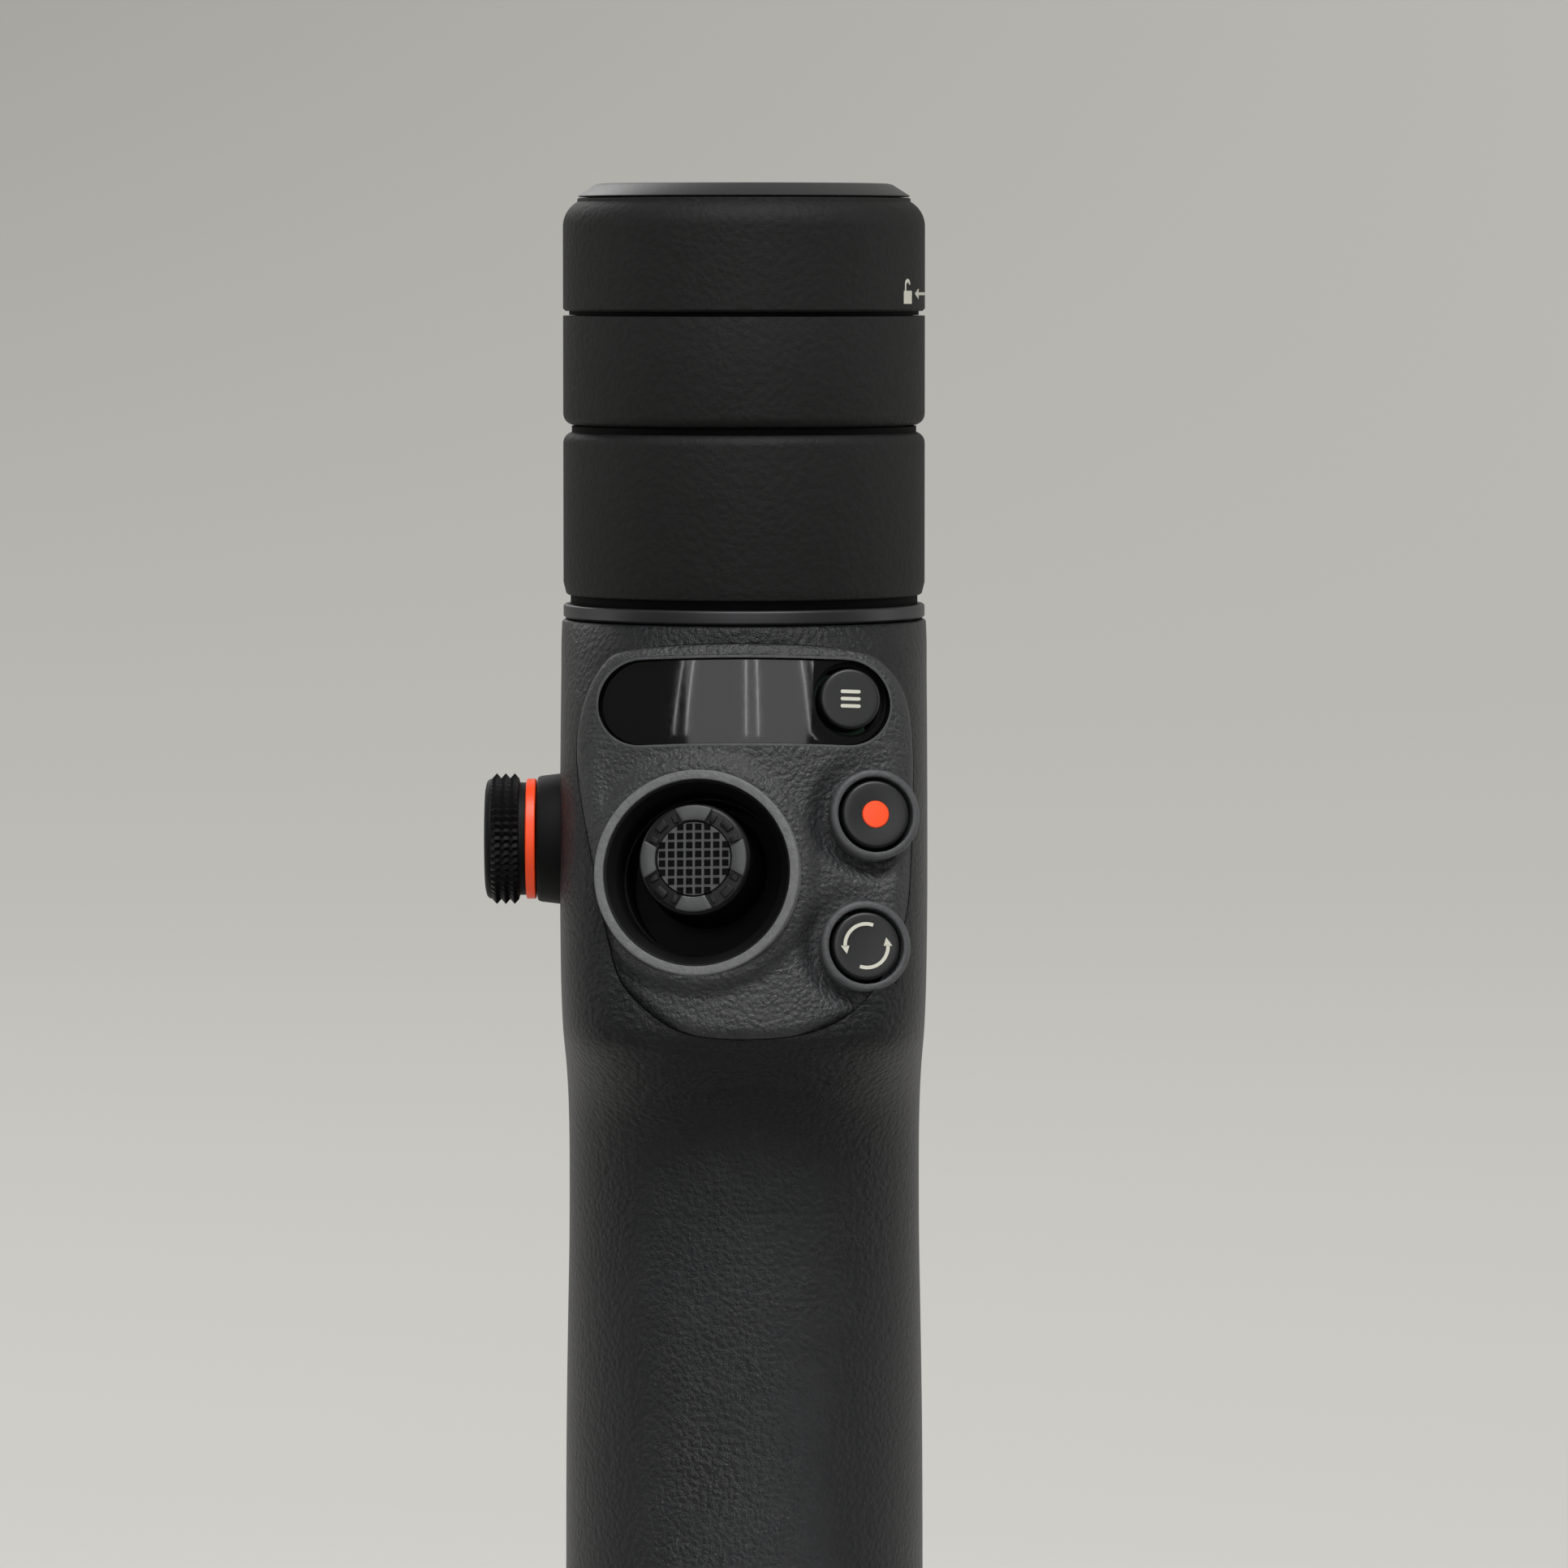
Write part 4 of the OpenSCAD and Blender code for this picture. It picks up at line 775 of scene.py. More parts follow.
def panel_point(x, y, z):
    """A point of the panel's skin from a point of the disc of rings."""
    share = math.hypot(x, y)
    spoke = int(round(math.atan2(-x, y) / angle_step)) % n_outline
    if share > EDGE_SHARE:
        ring = int(round((1 - share) / RING_STEP))
        px, py = loops[ring][spoke]
        return px, py, panel_height(px, py, RINGS[ring] * MM)
    share /= EDGE_SHARE
    px, py = loops[-1][spoke] * share
    return px, py, panel_height(px, py, RINGS[-1] * MM + (1 - share) * PANEL_HALF_W)


panel = disc("panel_skin", n_outline, radii)
shape(panel, panel_point)
# the open rim goes down as a skirt, and its end is drawn together to close the solid
open_mesh(panel, "DESELECT")
bpy.ops.mesh.select_non_manifold(extend=False)
draw_out(0, 0, -SKIRT)
bpy.ops.mesh.extrude_region_move()
bpy.ops.mesh.merge(type="CENTER")
tidy(close_mesh(panel))
settle(panel, PANEL_PLACE)
print("panel skin:", len(panel.data.polygons), "faces")

# %% Collars and openings of the panel
COLLAR_R, BUTTON_R, MODE_R, KEY_GAP = 4.7 * MM, 3.5 * MM, 3.15 * MM, 0.4 * MM
KEY_HOLE_R = BUTTON_R + KEY_GAP
KEY_DEPTH, CREST = 4.5 * MM, 0.9 * MM
WELL_R = 10.5 * MM
RECESS_X, RECESS_L, RECESS_H = 0.1 * MM, 30.7 * MM, 9.5 * MM
for place in KEY_PLACES:
    bore(panel, COLLAR_R - 0.1 * MM, place)
bore(panel, WELL_R, STICK_PLACE)
recess = prism("display recess", stadium_loop(RECESS_L, RECESS_H), -THROUGH, THROUGH)
cut(panel, settle(recess, DISPLAY_PLACE @ at(RECESS_X, 0)))
collar_outline = ([(KEY_HOLE_R, -KEY_DEPTH), (KEY_HOLE_R, CREST - 0.2 * MM)]
                  + arc(KEY_HOLE_R + 0.2 * MM, CREST - 0.2 * MM, 0.2 * MM, 180, 90, 4)
                  + arc(COLLAR_R - 0.45 * MM, CREST - 0.45 * MM, 0.45 * MM, 90, 0, 6)
                  + [(COLLAR_R, -KEY_DEPTH), (KEY_HOLE_R, -KEY_DEPTH)])
collars = join(*[settle(turned("key_collars", collar_outline, 96), p) for p in KEY_PLACES])
# the collars are painted lighter than the panel round them, as the highlight on their crests
keep(collars, "handle", collar_highlight_abs, "grained_panel")
keep(panel, "handle", panel_abs, "grained_panel", "control_panel", smooth=40)

# %% [markdown]
# The display is a curved glossy lens over a black tray, in a thin rim painted lighter as the
# highlight along the recess's edge. All three are slices of a tube whose axis runs up the panel:
# the tube is turned first, and a rounded bar cut through it leaves the slice.

# %% Display lens, rim and tray
LENS_L, LENS_H = 29.2 * MM, 8.7 * MM
LENS_TOP, LENS_FOOT, TRAY_FOOT = (PANEL_R - sunk * MM for sunk in (0.5, 1.5, 2.5))


def shifted(loop, dx, dy=0.0):
    """An outline moved in its plane."""
    return [(x + dx, y + dy) for x, y in loop]


def barrel_slice(name, length, width, r_in, r_out):
    """The part of a tube round the panel's axis that lies inside a rounded bar."""
    bar = prism(name, shifted(stadium_loop(length, width), RECESS_X), -THROUGH, 5 * MM)
    tube = turned("barrel", plain(r_out, -8 * MM, 8 * MM, r_in), 720)
    settle(tube, at(0, 0, -PANEL_R) @ about("X", math.pi / 2))
    return cut(bar, tube, operation="INTERSECT")


tray = barrel_slice("display_tray", RECESS_L + 0.8 * MM, RECESS_H + 0.8 * MM, TRAY_FOOT, LENS_FOOT)
settle(tray, DISPLAY_PLACE)
bore(tray, MODE_R + 0.4 * MM, MODE_PLACE)
keep(tray, "handle", black_matte, "matte_black")

# a thin ring painted lighter than the panel: a painted highlight on the recess's edge
rim = barrel_slice("display_rim_highlight", RECESS_L, RECESS_H, LENS_TOP, PANEL_R - 0.06 * MM)
rim_hole = stadium_loop(RECESS_L - 0.6 * MM, RECESS_H - 0.6 * MM)
cut(rim, prism("rim hole", shifted(rim_hole, RECESS_X), -THROUGH, THROUGH))
settle(soften(rim, 0.1 * MM, 2, 50), DISPLAY_PLACE)
keep(rim, "handle", collar_highlight_abs, "grained_panel")

lens = barrel_slice("curved_lens", LENS_L, LENS_H, LENS_FOOT, LENS_TOP)
settle(lens, DISPLAY_PLACE)
bore(lens, MODE_R + 0.75 * MM, MODE_PLACE)
soften(lens, 0.22 * MM, 3, 50)
keep(lens, "handle", lens_acrylic, "gloss_lens", "display_lens", smooth=50)

# %% [markdown]
# The joystick stands in a funnel. The lip of the funnel is the grained plastic of the panel,
# painted a much lighter grey as the highlight that its crest catches, and inside it a matte black
# cone leads down to a cup. Both are lathe parts: an outline of a few points spun round the
# joystick's axis.

# %% Joystick ring and funnel
RING_R, RING_IN = 10.6 * MM, 9.65 * MM
lip_outline = ([(RING_IN, -1.2 * MM), (RING_IN, CREST - 0.1 * MM)]
               + arc(RING_IN + 0.1 * MM, CREST - 0.1 * MM, 0.1 * MM, 180, 90, 3)
               + arc(RING_R - 0.2 * MM, CREST - 0.2 * MM, 0.2 * MM, 90, 0, 4)
               + [(RING_R, -2 * MM), (RING_IN, -2 * MM), (RING_IN, -1.2 * MM)])
lathe("joystick_lip", lip_outline, 160, "handle", crest_highlight_abs, "grained_panel", place=STICK_PLACE)
funnel_outline = in_mm((9.62, 0.35), (9.4, 0.3), (8.6, -0.6), (8.45, -0.85),
                       (8.4, -5.2), (9.62, -5.2), (9.62, 0.35))
lathe("joystick_funnel", funnel_outline, 160, "handle", black_matte, "matte_black",
      "joystick_bezel", place=STICK_PLACE)

# %% [markdown]
# The joystick's cap is a disc with four flat lugs round its rim, a tooth in every gap, and a
# square-ribbed pad in the middle that grips the thumb. The pad is one black plastic: its web takes
# the lugs' mid grey as a painted highlight, and its studs a near black as painted shade. The lugs
# and teeth are arcs of a flat ring: one is drawn, extruded and bevelled, and the others are
# turned copies of it.

# %% Joystick cap
STICK_PIVOT = STICK_PLACE @ at(0, 1.2 * MM)
CAP_R, CAP_TOP = 5.75 * MM, 2.9 * MM
LUG_FOOT, PAD_FLOOR = CAP_TOP - 1.2 * MM, CAP_TOP - 0.75 * MM
ON_STICK = ("joystick_stick", black_satin, "matte_black")
LUG_AND_LIT_WEB_ON_STICK = ("joystick_stick", lug_and_lit_web_satin, "matte_black")
cap_outline = ([(0, CAP_TOP - 2.6 * MM), (CAP_R - 0.35 * MM, CAP_TOP - 2.6 * MM)]
               + arc(CAP_R - 0.35 * MM, CAP_TOP - 2.25 * MM, 0.35 * MM, -90, 0, 4)
               + arc(CAP_R - 0.6 * MM, CAP_TOP - 1.25 * MM, 0.6 * MM, 0, 80, 6)
               + [(3.9 * MM, CAP_TOP - 0.6 * MM), (3.8 * MM, PAD_FLOOR), (0, PAD_FLOOR)])
cap = turned("joystick_thumb_cap", cap_outline, 128)


def sector(name, r_in, r_out, half_angle, sunk=0.0, flare=1.0):
    """A flat arc of a ring on the cap, centred on the X axis. Sizes in mm and degrees."""
    half = math.radians(half_angle)
    spread = spaced(-half, 2 * half, 8)
    outer = on_circle(r_out * MM, [a * flare for a in spread])
    inner = on_circle(r_in * MM, reversed(spread))
    return prism(name, outer + inner, LUG_FOOT, CAP_TOP - sunk * MM)


def ring_of(first, count, start=0.0):
    """Copies of a piece round the Z axis, joined to it."""
    join(first, *[twin(first, about("Z", math.tau * k / count)) for k in range(1, count)])
    return settle(first, about("Z", start))


lug = soften(sector("joystick_lugs", 3.95, 5.45, 17, flare=1.22), 0.12 * MM, 2, 40)
ring_of(lug, 4)
tooth = soften(sector("tooth", 4.35, 5.2, 7.5, 0.3), 0.1 * MM, 2, 40)
ring_of(tooth, 4, math.radians(45))
shoulder = sector("shoulder", 4.1, 5.0, 3.5, 0.35)
other = twin(shoulder, about("Z", math.radians(-25.5)))
settle(shoulder, about("Z", math.radians(25.5)))
ring_of(soften(join(shoulder, other), 0.08 * MM, 2, 40), 4)
keep(settle(join(cap, tooth, shoulder), STICK_PIVOT), *ON_STICK, "joystick_cap")
keep(settle(lug, STICK_PIVOT), *LUG_AND_LIT_WEB_ON_STICK)
# the web between the studs is painted mid grey: a painted highlight on the pad's grid
lathe("joystick_pad_web", plain(3.75 * MM, CAP_TOP - 0.9 * MM, CAP_TOP - 0.34 * MM), 96,
      *LUG_AND_LIT_WEB_ON_STICK, place=STICK_PIVOT)

# %% Ribbed pad of the joystick cap
PITCH, STUD, PAD_R = 0.93 * MM, 0.76 * MM, 3.62 * MM
STUD_TAPER = 0.84
stud = block("stud", (-STUD / 2, -STUD / 2, CAP_TOP - 0.8 * MM),
             (STUD / 2, STUD / 2, CAP_TOP - 0.2 * MM))
close_mesh(open_mesh(stud, "DESELECT"))
for face in stud.data.polygons:
    face.select = face.normal.z > 0.5
bpy.ops.object.mode_set(mode="EDIT")
bpy.ops.transform.resize(value=(STUD_TAPER, STUD_TAPER, 1))
close_mesh(stud)
spots = [((i - 3.5) * PITCH, (j - 3.5) * PITCH) for i in range(8) for j in range(8)]
studs = [twin(stud, at(*spot)) for spot in spots if math.hypot(*spot) < PAD_R]
print("studs:", len(studs))
bpy.data.objects.remove(stud)
pad = join(*studs)
pad.name = "joystick_pad"
# the studs are painted near black as shade
keep(settle(pad, STICK_PIVOT), "joystick_stick", shade_black, "matte_black")
# the stem and the dome under the cap
stem = turned("joystick_stem", plain(2.2 * MM, -0.35 * MM, CAP_TOP - 2.5 * MM), 48)
DOME_Z = -6.5 * MM
dome_outline = arc(0, DOME_Z, 6.2 * MM, 90, -8, 20) + arc(0, DOME_Z, 5.6 * MM, -8, 90, 20)
join(stem, turned("joystick_dome", dome_outline, 96))
keep(settle(stem, STICK_PIVOT), *ON_STICK)

# %% [markdown]
# The keys are short round caps with a soft edge. Their marks are pad printed: the record key has an
# orange dot set into it, the turning key two arrows that chase each other, and the mode key three
# plain bars, a generic sign for a list of modes.

# %% Keys
KEY_EDGE, DOT_SINK = 0.35 * MM, 0.45 * MM
# the dished part of the top as a share of the key's radius, and the steps across it
DISHED, DISH_STEPS = 0.78, 6


def key_cap(name, r, crest, depth, dish, place, body, solid, hollow=0.0):
    """A round key cap with a rounded edge and a slightly dished top, or a hollow for a mark."""
    top = [(r * DISHED * k / DISH_STEPS, crest - dish * (1 - (k / DISH_STEPS) ** 2))
           for k in range(DISH_STEPS, -1, -1)]
    rim = arc(r - KEY_EDGE, crest - KEY_EDGE, KEY_EDGE, 90, 0, 6)[::-1]
    if hollow:
        floor = crest - DOT_SINK
        top = ([p for p in top if p[0] > hollow]
               + [(hollow, crest - dish * 0.8), (hollow, floor), (0, floor)])
    outline = [(0, -depth), (r, -depth)] + rim + top
    lathe(name, outline, 96, body, button_abs, "control_plastic", solid, place=place)


DISH_TOP = 0.12 * MM
key_cap("mode_key_cap", MODE_R, 0.2 * MM, 2.4 * MM, 0.0, MODE_PLACE, "mode_key", "mode_button")
key_cap("record_key_cap", BUTTON_R, CREST, KEY_DEPTH, DISH_TOP, RECORD_PLACE, "record_key",
        "record_button", 1.43 * MM)
key_cap("flip_key_cap", BUTTON_R, CREST, KEY_DEPTH, DISH_TOP, FLIP_PLACE, "flip_key",
        "flip_button")
dot_outline = in_mm((0, -0.5), (1.4, -0.5), (1.4, -0.1), (1.3, 0), (0.8, 0.04), (0, 0.05),
                    base=CREST)
lathe("record_mark", dot_outline, 64, "record_key", orange_abs, "orange_plastic", "record_dot",
      place=RECORD_PLACE)

# %% Marks on the keys
PAINT = 0.03 * MM
LINE = 0.36 * MM
# how far the arrow's head reaches past the end of its arc and back over it, in radians
TIP_AHEAD, HEEL_BACK = 0.34, 0.05


def printed(name, loop, top=0.0):
    """A thin printed shape on a face at a height."""
    return prism(name, loop, top - PAINT, top + PAINT)


bars = [printed("mode_mark", shifted(stadium_loop(2.1 * MM, LINE, 8), 0, dy * MM), 0.2 * MM)
        for dy in (-0.75, 0, 0.75)]
keep(settle(join(*bars), MODE_PLACE), "mode_key", icon_paint, "soft_grey")


def chasing_arrow(name, r, start, sweep, top):
    """An arc with an arrow head at its end."""
    angles = spaced(start, sweep, 24)
    band = on_circle(r + LINE / 2, angles) + on_circle(r - LINE / 2, reversed(angles))
    tip, heel = [angles[-1] + TIP_AHEAD], [angles[-1] - HEEL_BACK]
    head = (on_circle(r, tip) + on_circle(r + 1.25 * LINE, heel)
            + on_circle(r - 1.25 * LINE, heel))
    return join(printed(name, band, top), printed("arrow head", head, top))


arrows = [chasing_arrow("turning_mark", 2.25 * MM, math.radians(a), math.radians(112),
                        CREST - 0.01 * MM) for a in (72, 252)]
keep(settle(join(*arrows), FLIP_PLACE), "flip_key", icon_paint, "soft_grey")

# %% [markdown]
# The wheel on the left side zooms the picture. Its rim is knurled in three rows of small pyramids,
# which on the real one come from the mould. A tube of 104 sides and seven rings is lofted, and
# every other corner of every other ring is pulled out: that makes the pyramids with very few faces.

# %% Side wheel
KNURLS, ROWS = 52, 3
WHEEL_R, KNURL_DEPTH = 6.86 * MM, 0.52 * MM
KNURL_LOW, KNURL_H, FACE_H = 4.95 * MM, 2.8 * MM, 0.7 * MM
TIP = KNURL_LOW + KNURL_H
FACE_Z = TIP + FACE_H - 0.35 * MM
knurl = loft("wheel_knurl", 2 * KNURLS, spaced(KNURL_LOW, KNURL_H, 2 * ROWS))


def knurl_point(x, y, z):
    """A point of the knurl: every other corner of every other ring stands out."""
    column = int(round(math.atan2(y, x) * KNURLS / math.pi))
    row = int(round((z - KNURL_LOW) * 2 * ROWS / KNURL_H))
    r = WHEEL_R if column % 2 and row % 2 else WHEEL_R - KNURL_DEPTH
    return x * r, y * r, z


tidy(shape(knurl, knurl_point))
keep(settle(knurl, WHEEL_PLACE), "wheel", black_satin, "matte_black", smooth=10)
body_outline = (in_mm((0, -5.7), (1.5, -5.7), (1.5, 4.15), (5.9, 4.15))
                + [(5.9 * MM, KNURL_LOW - 0.1 * MM), (6.3 * MM, KNURL_LOW), (6.3 * MM, TIP)]
                + arc(5.7 * MM, TIP, 0.6 * MM, 0, 80, 5)
                + [(5.3 * MM, TIP + FACE_H), (5.15 * MM, FACE_Z), (0, FACE_Z)])
lathe("wheel_body", body_outline, 128, "wheel", black_matte, "matte_black", "side_wheel",
      place=WHEEL_PLACE)
ring_outline = in_mm((1.6, 3.15), (6.2, 3.15), (6.3, 3.25), (6.3, 4.05), (6.2, 4.15),
                     (1.6, 4.15), (1.6, 3.15))
lathe("wheel_accent_ring", ring_outline, 128, "wheel", orange_abs, "orange_plastic",
      "side_wheel_ring", place=WHEEL_PLACE)
seat_outline = (in_mm((1.6, -5.9), (4, -5.9), (4, 0), (6.96, 0), (6.8, 0.9), (6.6, 2.6))
                + arc(6.25 * MM, 2.7 * MM, 0.3 * MM, 0, 90, 4) + in_mm((1.6, 3), (1.6, -5.9)))
lathe("wheel_seat", seat_outline, 128, "handle", black_matte, "matte_black", "side_wheel_base",
      place=WHEEL_PLACE)

# %% [markdown]
# The three pucks of the pan motor and the lock are lathe parts. Their edges differ: the upper rim
# of the stack is a full three millimetre round, the joints between the pucks have small rounds,
# and the lowest one ends in a chamfer over a neck painted near black as shade. Only such edges
# catch the light, so each one is drawn in the outline. The joints get near-black rings as
# painted shade.

# %% Pan motor housing, lock ring and cap
RING_Z = TOP_Z + 0.15 * MM
RING_TOP = RING_Z + 1.45 * MM
NECK_R, NECK_H = 18.25 * MM, 0.98 * MM
head_outline = ([(0, RING_Z), (PUCK_R - 0.2 * MM, RING_Z), (PUCK_R, RING_Z + 0.2 * MM)]
                + arc(PUCK_R - 0.3 * MM, RING_TOP - 0.3 * MM, 0.3 * MM, 0, 90, 4)
                + [(16 * MM, RING_TOP), (0, RING_TOP)])
head = turned("rod_head_ring", head_outline, 192)
plug = turned("rod_head_plug", plain(4.8 * MM, RING_Z - 9.9 * MM, RING_Z), 64)
keep(join(head, plug), "inner_rod", ring_alu, "head_ring", "rod_head", smooth=30)
# the neck under the housing is painted near black as shade
neck = turned("rod_head_neck", plain(NECK_R, RING_TOP - 0.1 * MM, RING_TOP + NECK_H), 192)
keep(soften(neck, 0.05 * MM, 2, 40), "inner_rod", shade_black, "matte_black")

HOUSING_Z = RING_TOP + NECK_H
HOUSING_FLOOR, HOUSING_TOP = HOUSING_Z + 1.6 * MM, HOUSING_Z + 17.07 * MM
housing_outline = ([(15.6 * MM, HOUSING_FLOOR), (5.7 * MM, HOUSING_FLOOR), (5.7 * MM, HOUSING_Z),
                    (PUCK_R - 0.45 * MM, HOUSING_Z), (PUCK_R - 0.28 * MM, HOUSING_Z + 0.15 * MM),
                    (PUCK_R, HOUSING_Z + 1.3 * MM)]
                   + arc(PUCK_R - 1.2 * MM, HOUSING_TOP - 1.2 * MM, 1.2 * MM, 0, 85, 8)
                   + [(17.5 * MM, HOUSING_TOP), (17.4 * MM, HOUSING_TOP - 0.2 * MM),
                      (17.4 * MM, HOUSING_FLOOR), (15.6 * MM, HOUSING_FLOOR)])
lathe("pan_motor_housing", housing_outline, 192, "inner_rod", puck_abs, "soft_grey",
      "pan_housing", smooth=30)
JOINT_IN = 17.2 * MM
# a near-black ring in the joint between the pucks: painted shade in the groove
groove = plain(18.1 * MM, HOUSING_TOP - 0.6 * MM, HOUSING_TOP + 0.6 * MM, JOINT_IN)
lathe("pan_groove_ring", groove, 192, "inner_rod", shade_black, "matte_black")

LOCK_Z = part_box("lock_ring")[0][2]
LOCK_TOP = LOCK_Z + 11.8 * MM
# a near-black ring in the joint under the lock ring: painted shade
skirt = plain(18.35 * MM, LOCK_Z - 0.42 * MM, LOCK_Z + 0.1 * MM, JOINT_IN)
lathe("lock_skirt", skirt, 192, "lock_collar", shade_black, "matte_black")
lock_outline = ([(6.1 * MM, LOCK_Z), (PUCK_R - 0.25 * MM, LOCK_Z), (PUCK_R, LOCK_Z + 0.25 * MM)]
                + arc(PUCK_R - 3 * MM, LOCK_TOP - 3 * MM, 3 * MM, 0, 60, 14)
                + [(17.45 * MM, LOCK_TOP - 0.05 * MM), (17.3 * MM, LOCK_TOP),
                   (6.1 * MM, LOCK_TOP), (6.1 * MM, LOCK_Z)])
lathe("lock_collar_ring", lock_outline, 192, "lock_collar", puck_abs, "soft_grey", "lock_ring",
      smooth=30)
CAP_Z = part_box("lock_cap")[0][2]
lid_outline = in_mm((0, 0), (17.3, 0), (17.42, 0.12), (15.6, 1.28), (15.1, 1.4), (0, 1.4),
                    base=CAP_Z)
lathe("lock_collar_cap", lid_outline, 192, "pan_head", cap_satin, "soft_grey", "lock_cap",
      smooth=30)

# %% [markdown]
# A small open padlock and an arrow are printed on the lock ring, to say which way frees the head.
# They are drawn flat and thin, standing up, and then wrapped: the distance along the drawing
# becomes an angle round the ring.

# %% Lock mark
MARK_Z, MARK_ANGLE = 178.7 * MM, math.radians(64)


def flat_bar(x, y, width, height):
    """A printed bar round a middle, in millimetres."""
    corners = [(-0.5, -0.5), (0.5, -0.5), (0.5, 0.5), (-0.5, 0.5)]
    return printed("lock_mark", in_mm(*[(x + i * width, y + j * height) for i, j in corners]))


bow = spaced(0, math.pi, 12)
shackle = (on_circle(0.62 * MM, bow, -0.1 * MM, 0.75 * MM)
           + on_circle(0.36 * MM, reversed(bow), -0.1 * MM, 0.75 * MM))
mark = join(flat_bar(0, -0.55, 1.9, 1.35), printed("shackle", shackle),
            flat_bar(-0.59, 0.4, 0.26, 0.8), flat_bar(5.6, -0.2, 6, 0.3),
            printed("arrow head", in_mm((1.9, -0.2), (3.1, -0.75), (3.1, 0.35))))
modify(mark, "SUBSURF", subdivision_type="SIMPLE", levels=2, render_levels=2)


def wrapped(x, y, z):
    """A point of the flat drawing, wrapped round the lock ring."""
    angle = MARK_ANGLE + x / PUCK_R
    r = PUCK_R + z
    return r * math.sin(angle), -r * math.cos(angle), MARK_Z + y


tidy(shape(mark, wrapped))
keep(mark, "lock_collar", icon_paint, "soft_grey")

# %% [markdown]
# The parts behind the handle already have the right shapes, but their edges are knife sharp. Real
# mouldings have none. Their solids stay, and three modifiers soften them in place: Weld joins the
# loose triangles, Decimate dissolves the flat ones into whole faces, and Bevel rounds what is left.

# %% Soft edges on the solids that stay
SOFT_EDGES = {
    "pan_rotor_shell": 0.35, "arm_shell": 0.8, "arm_cover": 0.25, "roll_housing": 0.9,
    "roll_bracket": 0.8, "tilt_housing": 0.8, "tilt_rotor": 0.8, "phone_plate": 0.5,
    "trigger": 0.5, "power_button": 0.4, "base_cap": 0.3, "tripod_insert": 0.2}
FLAT_WITHIN, SHARP_FROM = math.radians(2), math.radians(40)
for name, width in SOFT_EDGES.items():
    stack(nodes[name], "WELD", merge_threshold=0.002 * MM)
    stack(nodes[name], "DECIMATE", decimate_type="DISSOLVE", angle_limit=FLAT_WITHIN)
    stack(nodes[name], "BEVEL", width=width * MM, segments=3, limit_method="ANGLE",
          angle_limit=SHARP_FROM, use_clamp_overlap=True)
print("softened solids:", len(SOFT_EDGES))

# %% [markdown]
# The photograph was taken at the height of the top of the handle with a long lens, so upright
# edges stay parallel. The camera stands 0.8 m away and looks down a little.

# %% Camera
CAMERA_FAR = 0.8
CAMERA_X = 4.2 * MM
CAMERA_Z = 181.5 * MM
AIM_Z = 126.9 * MM
SENSOR = 36
FRAME_PX = 1932
FOCAL_PX = 9370


def aim(thing, target):
    """Turns a camera or lamp so that it looks at a point."""
    thing.rotation_euler = (Vector(target) - thing.location).to_track_quat("-Z", "Y").to_euler()


pick_only()
bpy.ops.object.camera_add(location=(CAMERA_X, -CAMERA_FAR, CAMERA_Z))
camera = bpy.context.object
aim(camera, (CAMERA_X, 0, AIM_Z))
camera.data.sensor_width = SENSOR
camera.data.lens = SENSOR * FOCAL_PX / FRAME_PX
camera.data.clip_start = 0.01
bpy.context.scene.camera = camera
print("lens, mm:", round(camera.data.lens, 1))

# %% [markdown]
# Dark plastic shows light mostly as reflections, so the lamps are placed for what the surfaces
# mirror. A wide dim softbox in front is what the curved lens shows as a grey field, three pairs
# of narrow strips draw the thin bright lines on it, and a small lamp low in front, narrowed to
# ten degrees, draws the highlight down the grip. A bright panel above gives the shape of the
# whole, and two strips behind the sides draw the light rims along the grip.

# %% Lamps
# metres and watts, and half the angle between the two strips of a pair in degrees
LINE_FAR, LINE_Z, LINE_WATTS = 1.04, 0.55, 0.13
LINE_SIZE, HALF_GAP = (0.0038, 0.6), 2.2


def lamp(name, place, size, watts, target=(0, 0, 0.13)):
    """A rectangular soft light: its place, size, power and what it looks at."""
    pick_only()
    bpy.ops.object.light_add(type="AREA", location=place)
    made = new_piece(name)
    made.data.shape = "RECTANGLE"
    made.data.size, made.data.size_y = size
    made.data.energy = watts
    aim(made, target)
    return made


lamp("front softbox", (0.02, -1.0, 0.46), (0.84, 0.8), 2.5)
for name, azimuth in (("left line", -23), ("middle line", 3), ("right line", 26)):
    for side_name, offset in (("inner", -HALF_GAP), ("outer", HALF_GAP)):
        a = math.radians(azimuth + offset)
        spot = (LINE_FAR * math.sin(a), -LINE_FAR * math.cos(a), LINE_Z)
        lamp(f"{name} {side_name}", spot, LINE_SIZE, LINE_WATTS)
low_strip = lamp("low front strip", (0.016, -0.9, 0.034), (0.03, 0.058), 0.016, (0, 0, 0.034))
low_strip.data.spread = math.radians(10)
lamp("top panel", (0.1, -0.45, 1.05), (0.7, 0.5), 10)
lamp("left rim strip", (-0.75, 0.12, 0.25), (0.25, 0.8), 1.2)
lamp("right rim strip", (0.75, 0.12, 0.25), (0.25, 0.8), 1.3)
lamp("rear fill", (-0.45, 0.95, 0.75), (0.6, 0.5), 3)

# %% [markdown]
# The floor runs back and turns up into a wall without an edge, as studio paper does, so no horizon
# shows behind the object in the photo's view. Close to the object it is lit by the lamps and takes
# the object's shadow. Farther off, the camera and mirror rays see a painted fall of light, from
# bright to grey, drawn along its sweep. For mirror rays the floor in front of the object is
# painted dark, a painted reflection on the lower grip.

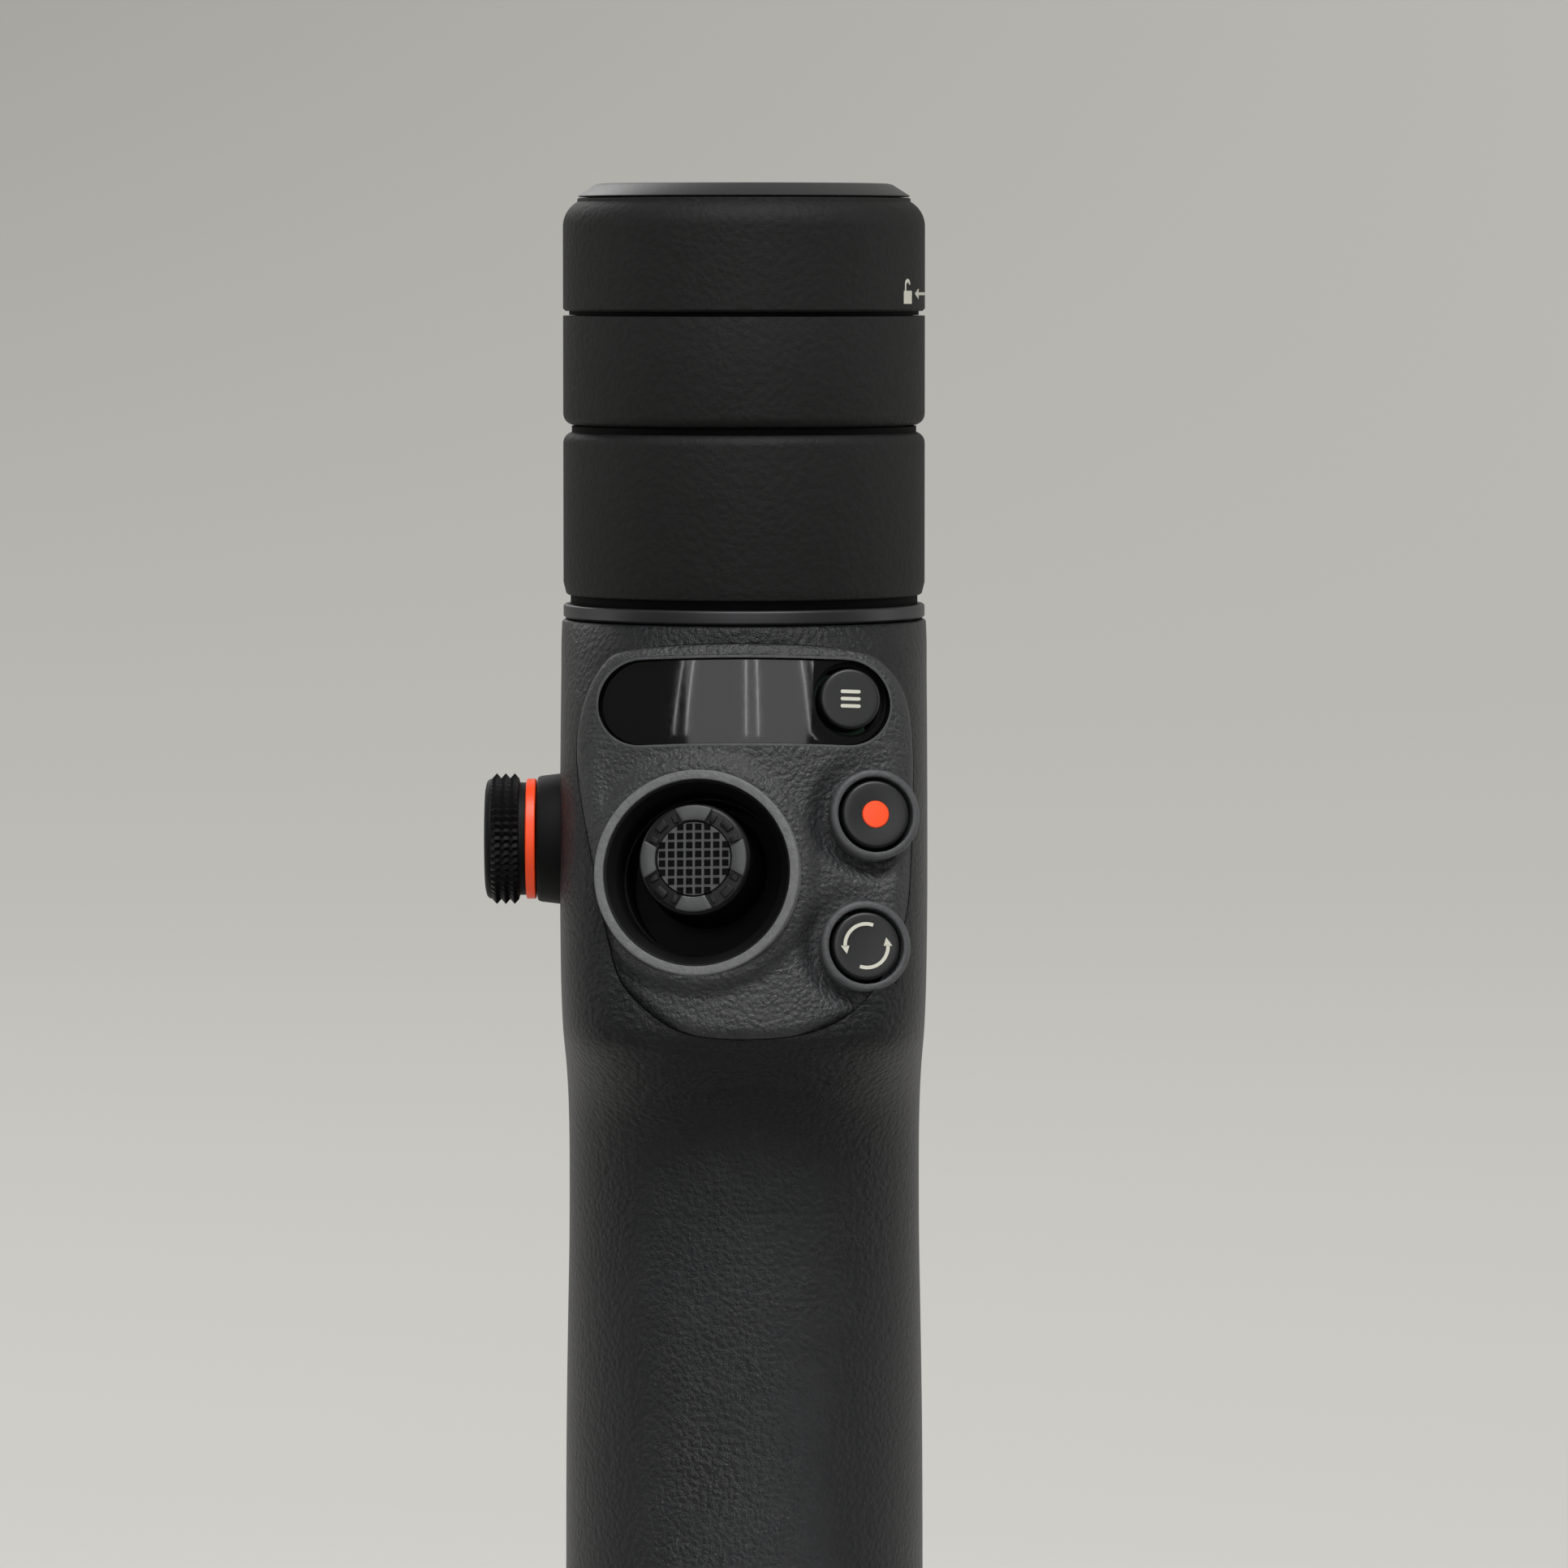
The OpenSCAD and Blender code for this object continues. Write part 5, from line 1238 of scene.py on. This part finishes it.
# %% Paper sweep
SWEEP_Y, SWEEP_R = 1.2, 1.0
PAPER_W, PAPER_FRONT, PAPER_TOP = 6, 2, 4
pick_only()
bpy.ops.mesh.primitive_plane_add(size=1)
backdrop = new_piece("paper_sweep")
backdrop.scale = (PAPER_W, SWEEP_Y + PAPER_FRONT, 1)
settle(backdrop)
settle(backdrop, at(0, (SWEEP_Y - PAPER_FRONT) / 2, -0.5 * MM))
for vertex in backdrop.data.vertices:
    vertex.select = vertex.co.y > 0
for edge in backdrop.data.edges:
    edge.select = all(backdrop.data.vertices[v].co.y > 0 for v in edge.vertices)
for face in backdrop.data.polygons:
    face.select = False
sweep_line = arc(SWEEP_Y, SWEEP_R, SWEEP_R, -90, 0, 32) + [(SWEEP_Y + SWEEP_R, PAPER_TOP)]
bpy.ops.object.mode_set(mode="EDIT")
bpy.ops.mesh.select_mode(type="EDGE")
for here, there in zip(sweep_line, sweep_line[1:]):
    draw_out(0, there[0] - here[0], there[1] - here[1])
bpy.ops.mesh.select_mode(type="VERT")
close_mesh(backdrop)
bpy.ops.object.shade_smooth()
print("paper sweep:", len(backdrop.data.polygons), "faces")

# %% Finish of the paper
# painted light: the paper's fall from bright to grey, in tones for the left and the right side
PAPER_PAINTED_FALL = (("#d2d1cc", "#b7b6b1", "#a5a49f"), ("#cccbc6", "#b9b8b3", "#b8b7b2"))
# painted reflection: how much the floor in front is darkened for mirror rays
MIRROR_DIMMING = -0.92
# where the tones change, in metres: along the sweep, from left to right, away from the object,
# and on the floor in front of it for mirror rays
ALONG, ACROSS, AWAY, BEFORE = (0.24, 2.2), (-0.28, 0.28), (0.12, 0.4), (0.04, -0.1)


def ranged(value, marks, **settings):
    """How far a value of the paper's tree is from one mark to another, from 0 to 1."""
    return node(tree, "MapRange", {"Value": value}, From_Min=marks[0], From_Max=marks[1],
                **settings).outputs["Result"]


paper, tree, surface, place = finish_of("pale studio paper", "#dddcd7", 0.9)
xyz = node(tree, "SeparateXYZ", {"Vector": place}).outputs
fall = ranged(worked_out(tree, "ADD", xyz["Y"], xyz["Z"]), ALONG)
across = ranged(xyz["X"], ACROSS)
left, right = (toned(tree, fall, *zip((0.0, 0.7, 1.0), codes)) for codes in PAPER_PAINTED_FALL)
tone = node(tree, "MixRGB", {"Fac": across, "Color1": left, "Color2": right})
path = node(tree, "LightPath").outputs
mirrored = worked_out(tree, "MAXIMUM", path["Is Glossy Ray"], path["Is Transmission Ray"])
seen = worked_out(tree, "MAXIMUM", path["Is Camera Ray"], mirrored)
far = node(tree, "VectorMath", {0: place}, operation="LENGTH").outputs["Value"]
away = ranged(far, AWAY, interpolation_type="SMOOTHSTEP")
share = worked_out(tree, "MULTIPLY", seen, away)
# painted reflection: the floor in front of the object is darkened for mirror rays only
dim = worked_out(tree, "MULTIPLY", ranged(xyz["Y"], BEFORE), path["Is Glossy Ray"])
glow = node(tree, "Emission", {
    "Color": tone.outputs["Color"],
    "Strength": worked_out(tree, "MULTIPLY_ADD", dim, MIRROR_DIMMING, 1.0)})
either = worked_out(tree, "MAXIMUM", share, dim)
mixed = node(tree, "MixShader",
             {0: either, 1: surface.outputs["BSDF"], 2: glow.outputs["Emission"]})
tree.links.new(mixed.outputs["Shader"], tree.nodes["Material Output"].inputs["Surface"])
dress(backdrop, paper)
print("finish of the paper:", len(tree.nodes), "nodes")

# %% [markdown]
# A plain grey room lights everything a little. The camera sees it brighter than it lights, so that
# no dark band shows over the floor from behind.

# %% Room light
ROOM_LIGHT, MORE_FOR_CAMERA = 0.22, 0.7
scene = bpy.context.scene
scene.view_settings.view_transform = "Standard"
world = bpy.data.worlds.new("studio")
scene.world = world
world.use_nodes = True
tree = world.node_tree
back = tree.nodes["Background"].inputs
back["Color"].default_value = colour("#bbbab5")
seen = node(tree, "LightPath").outputs["Is Camera Ray"]
strength = worked_out(tree, "MULTIPLY_ADD", seen, MORE_FOR_CAMERA, ROOM_LIGHT)
tree.links.new(strength, back["Strength"])
print("room light:", ROOM_LIGHT)
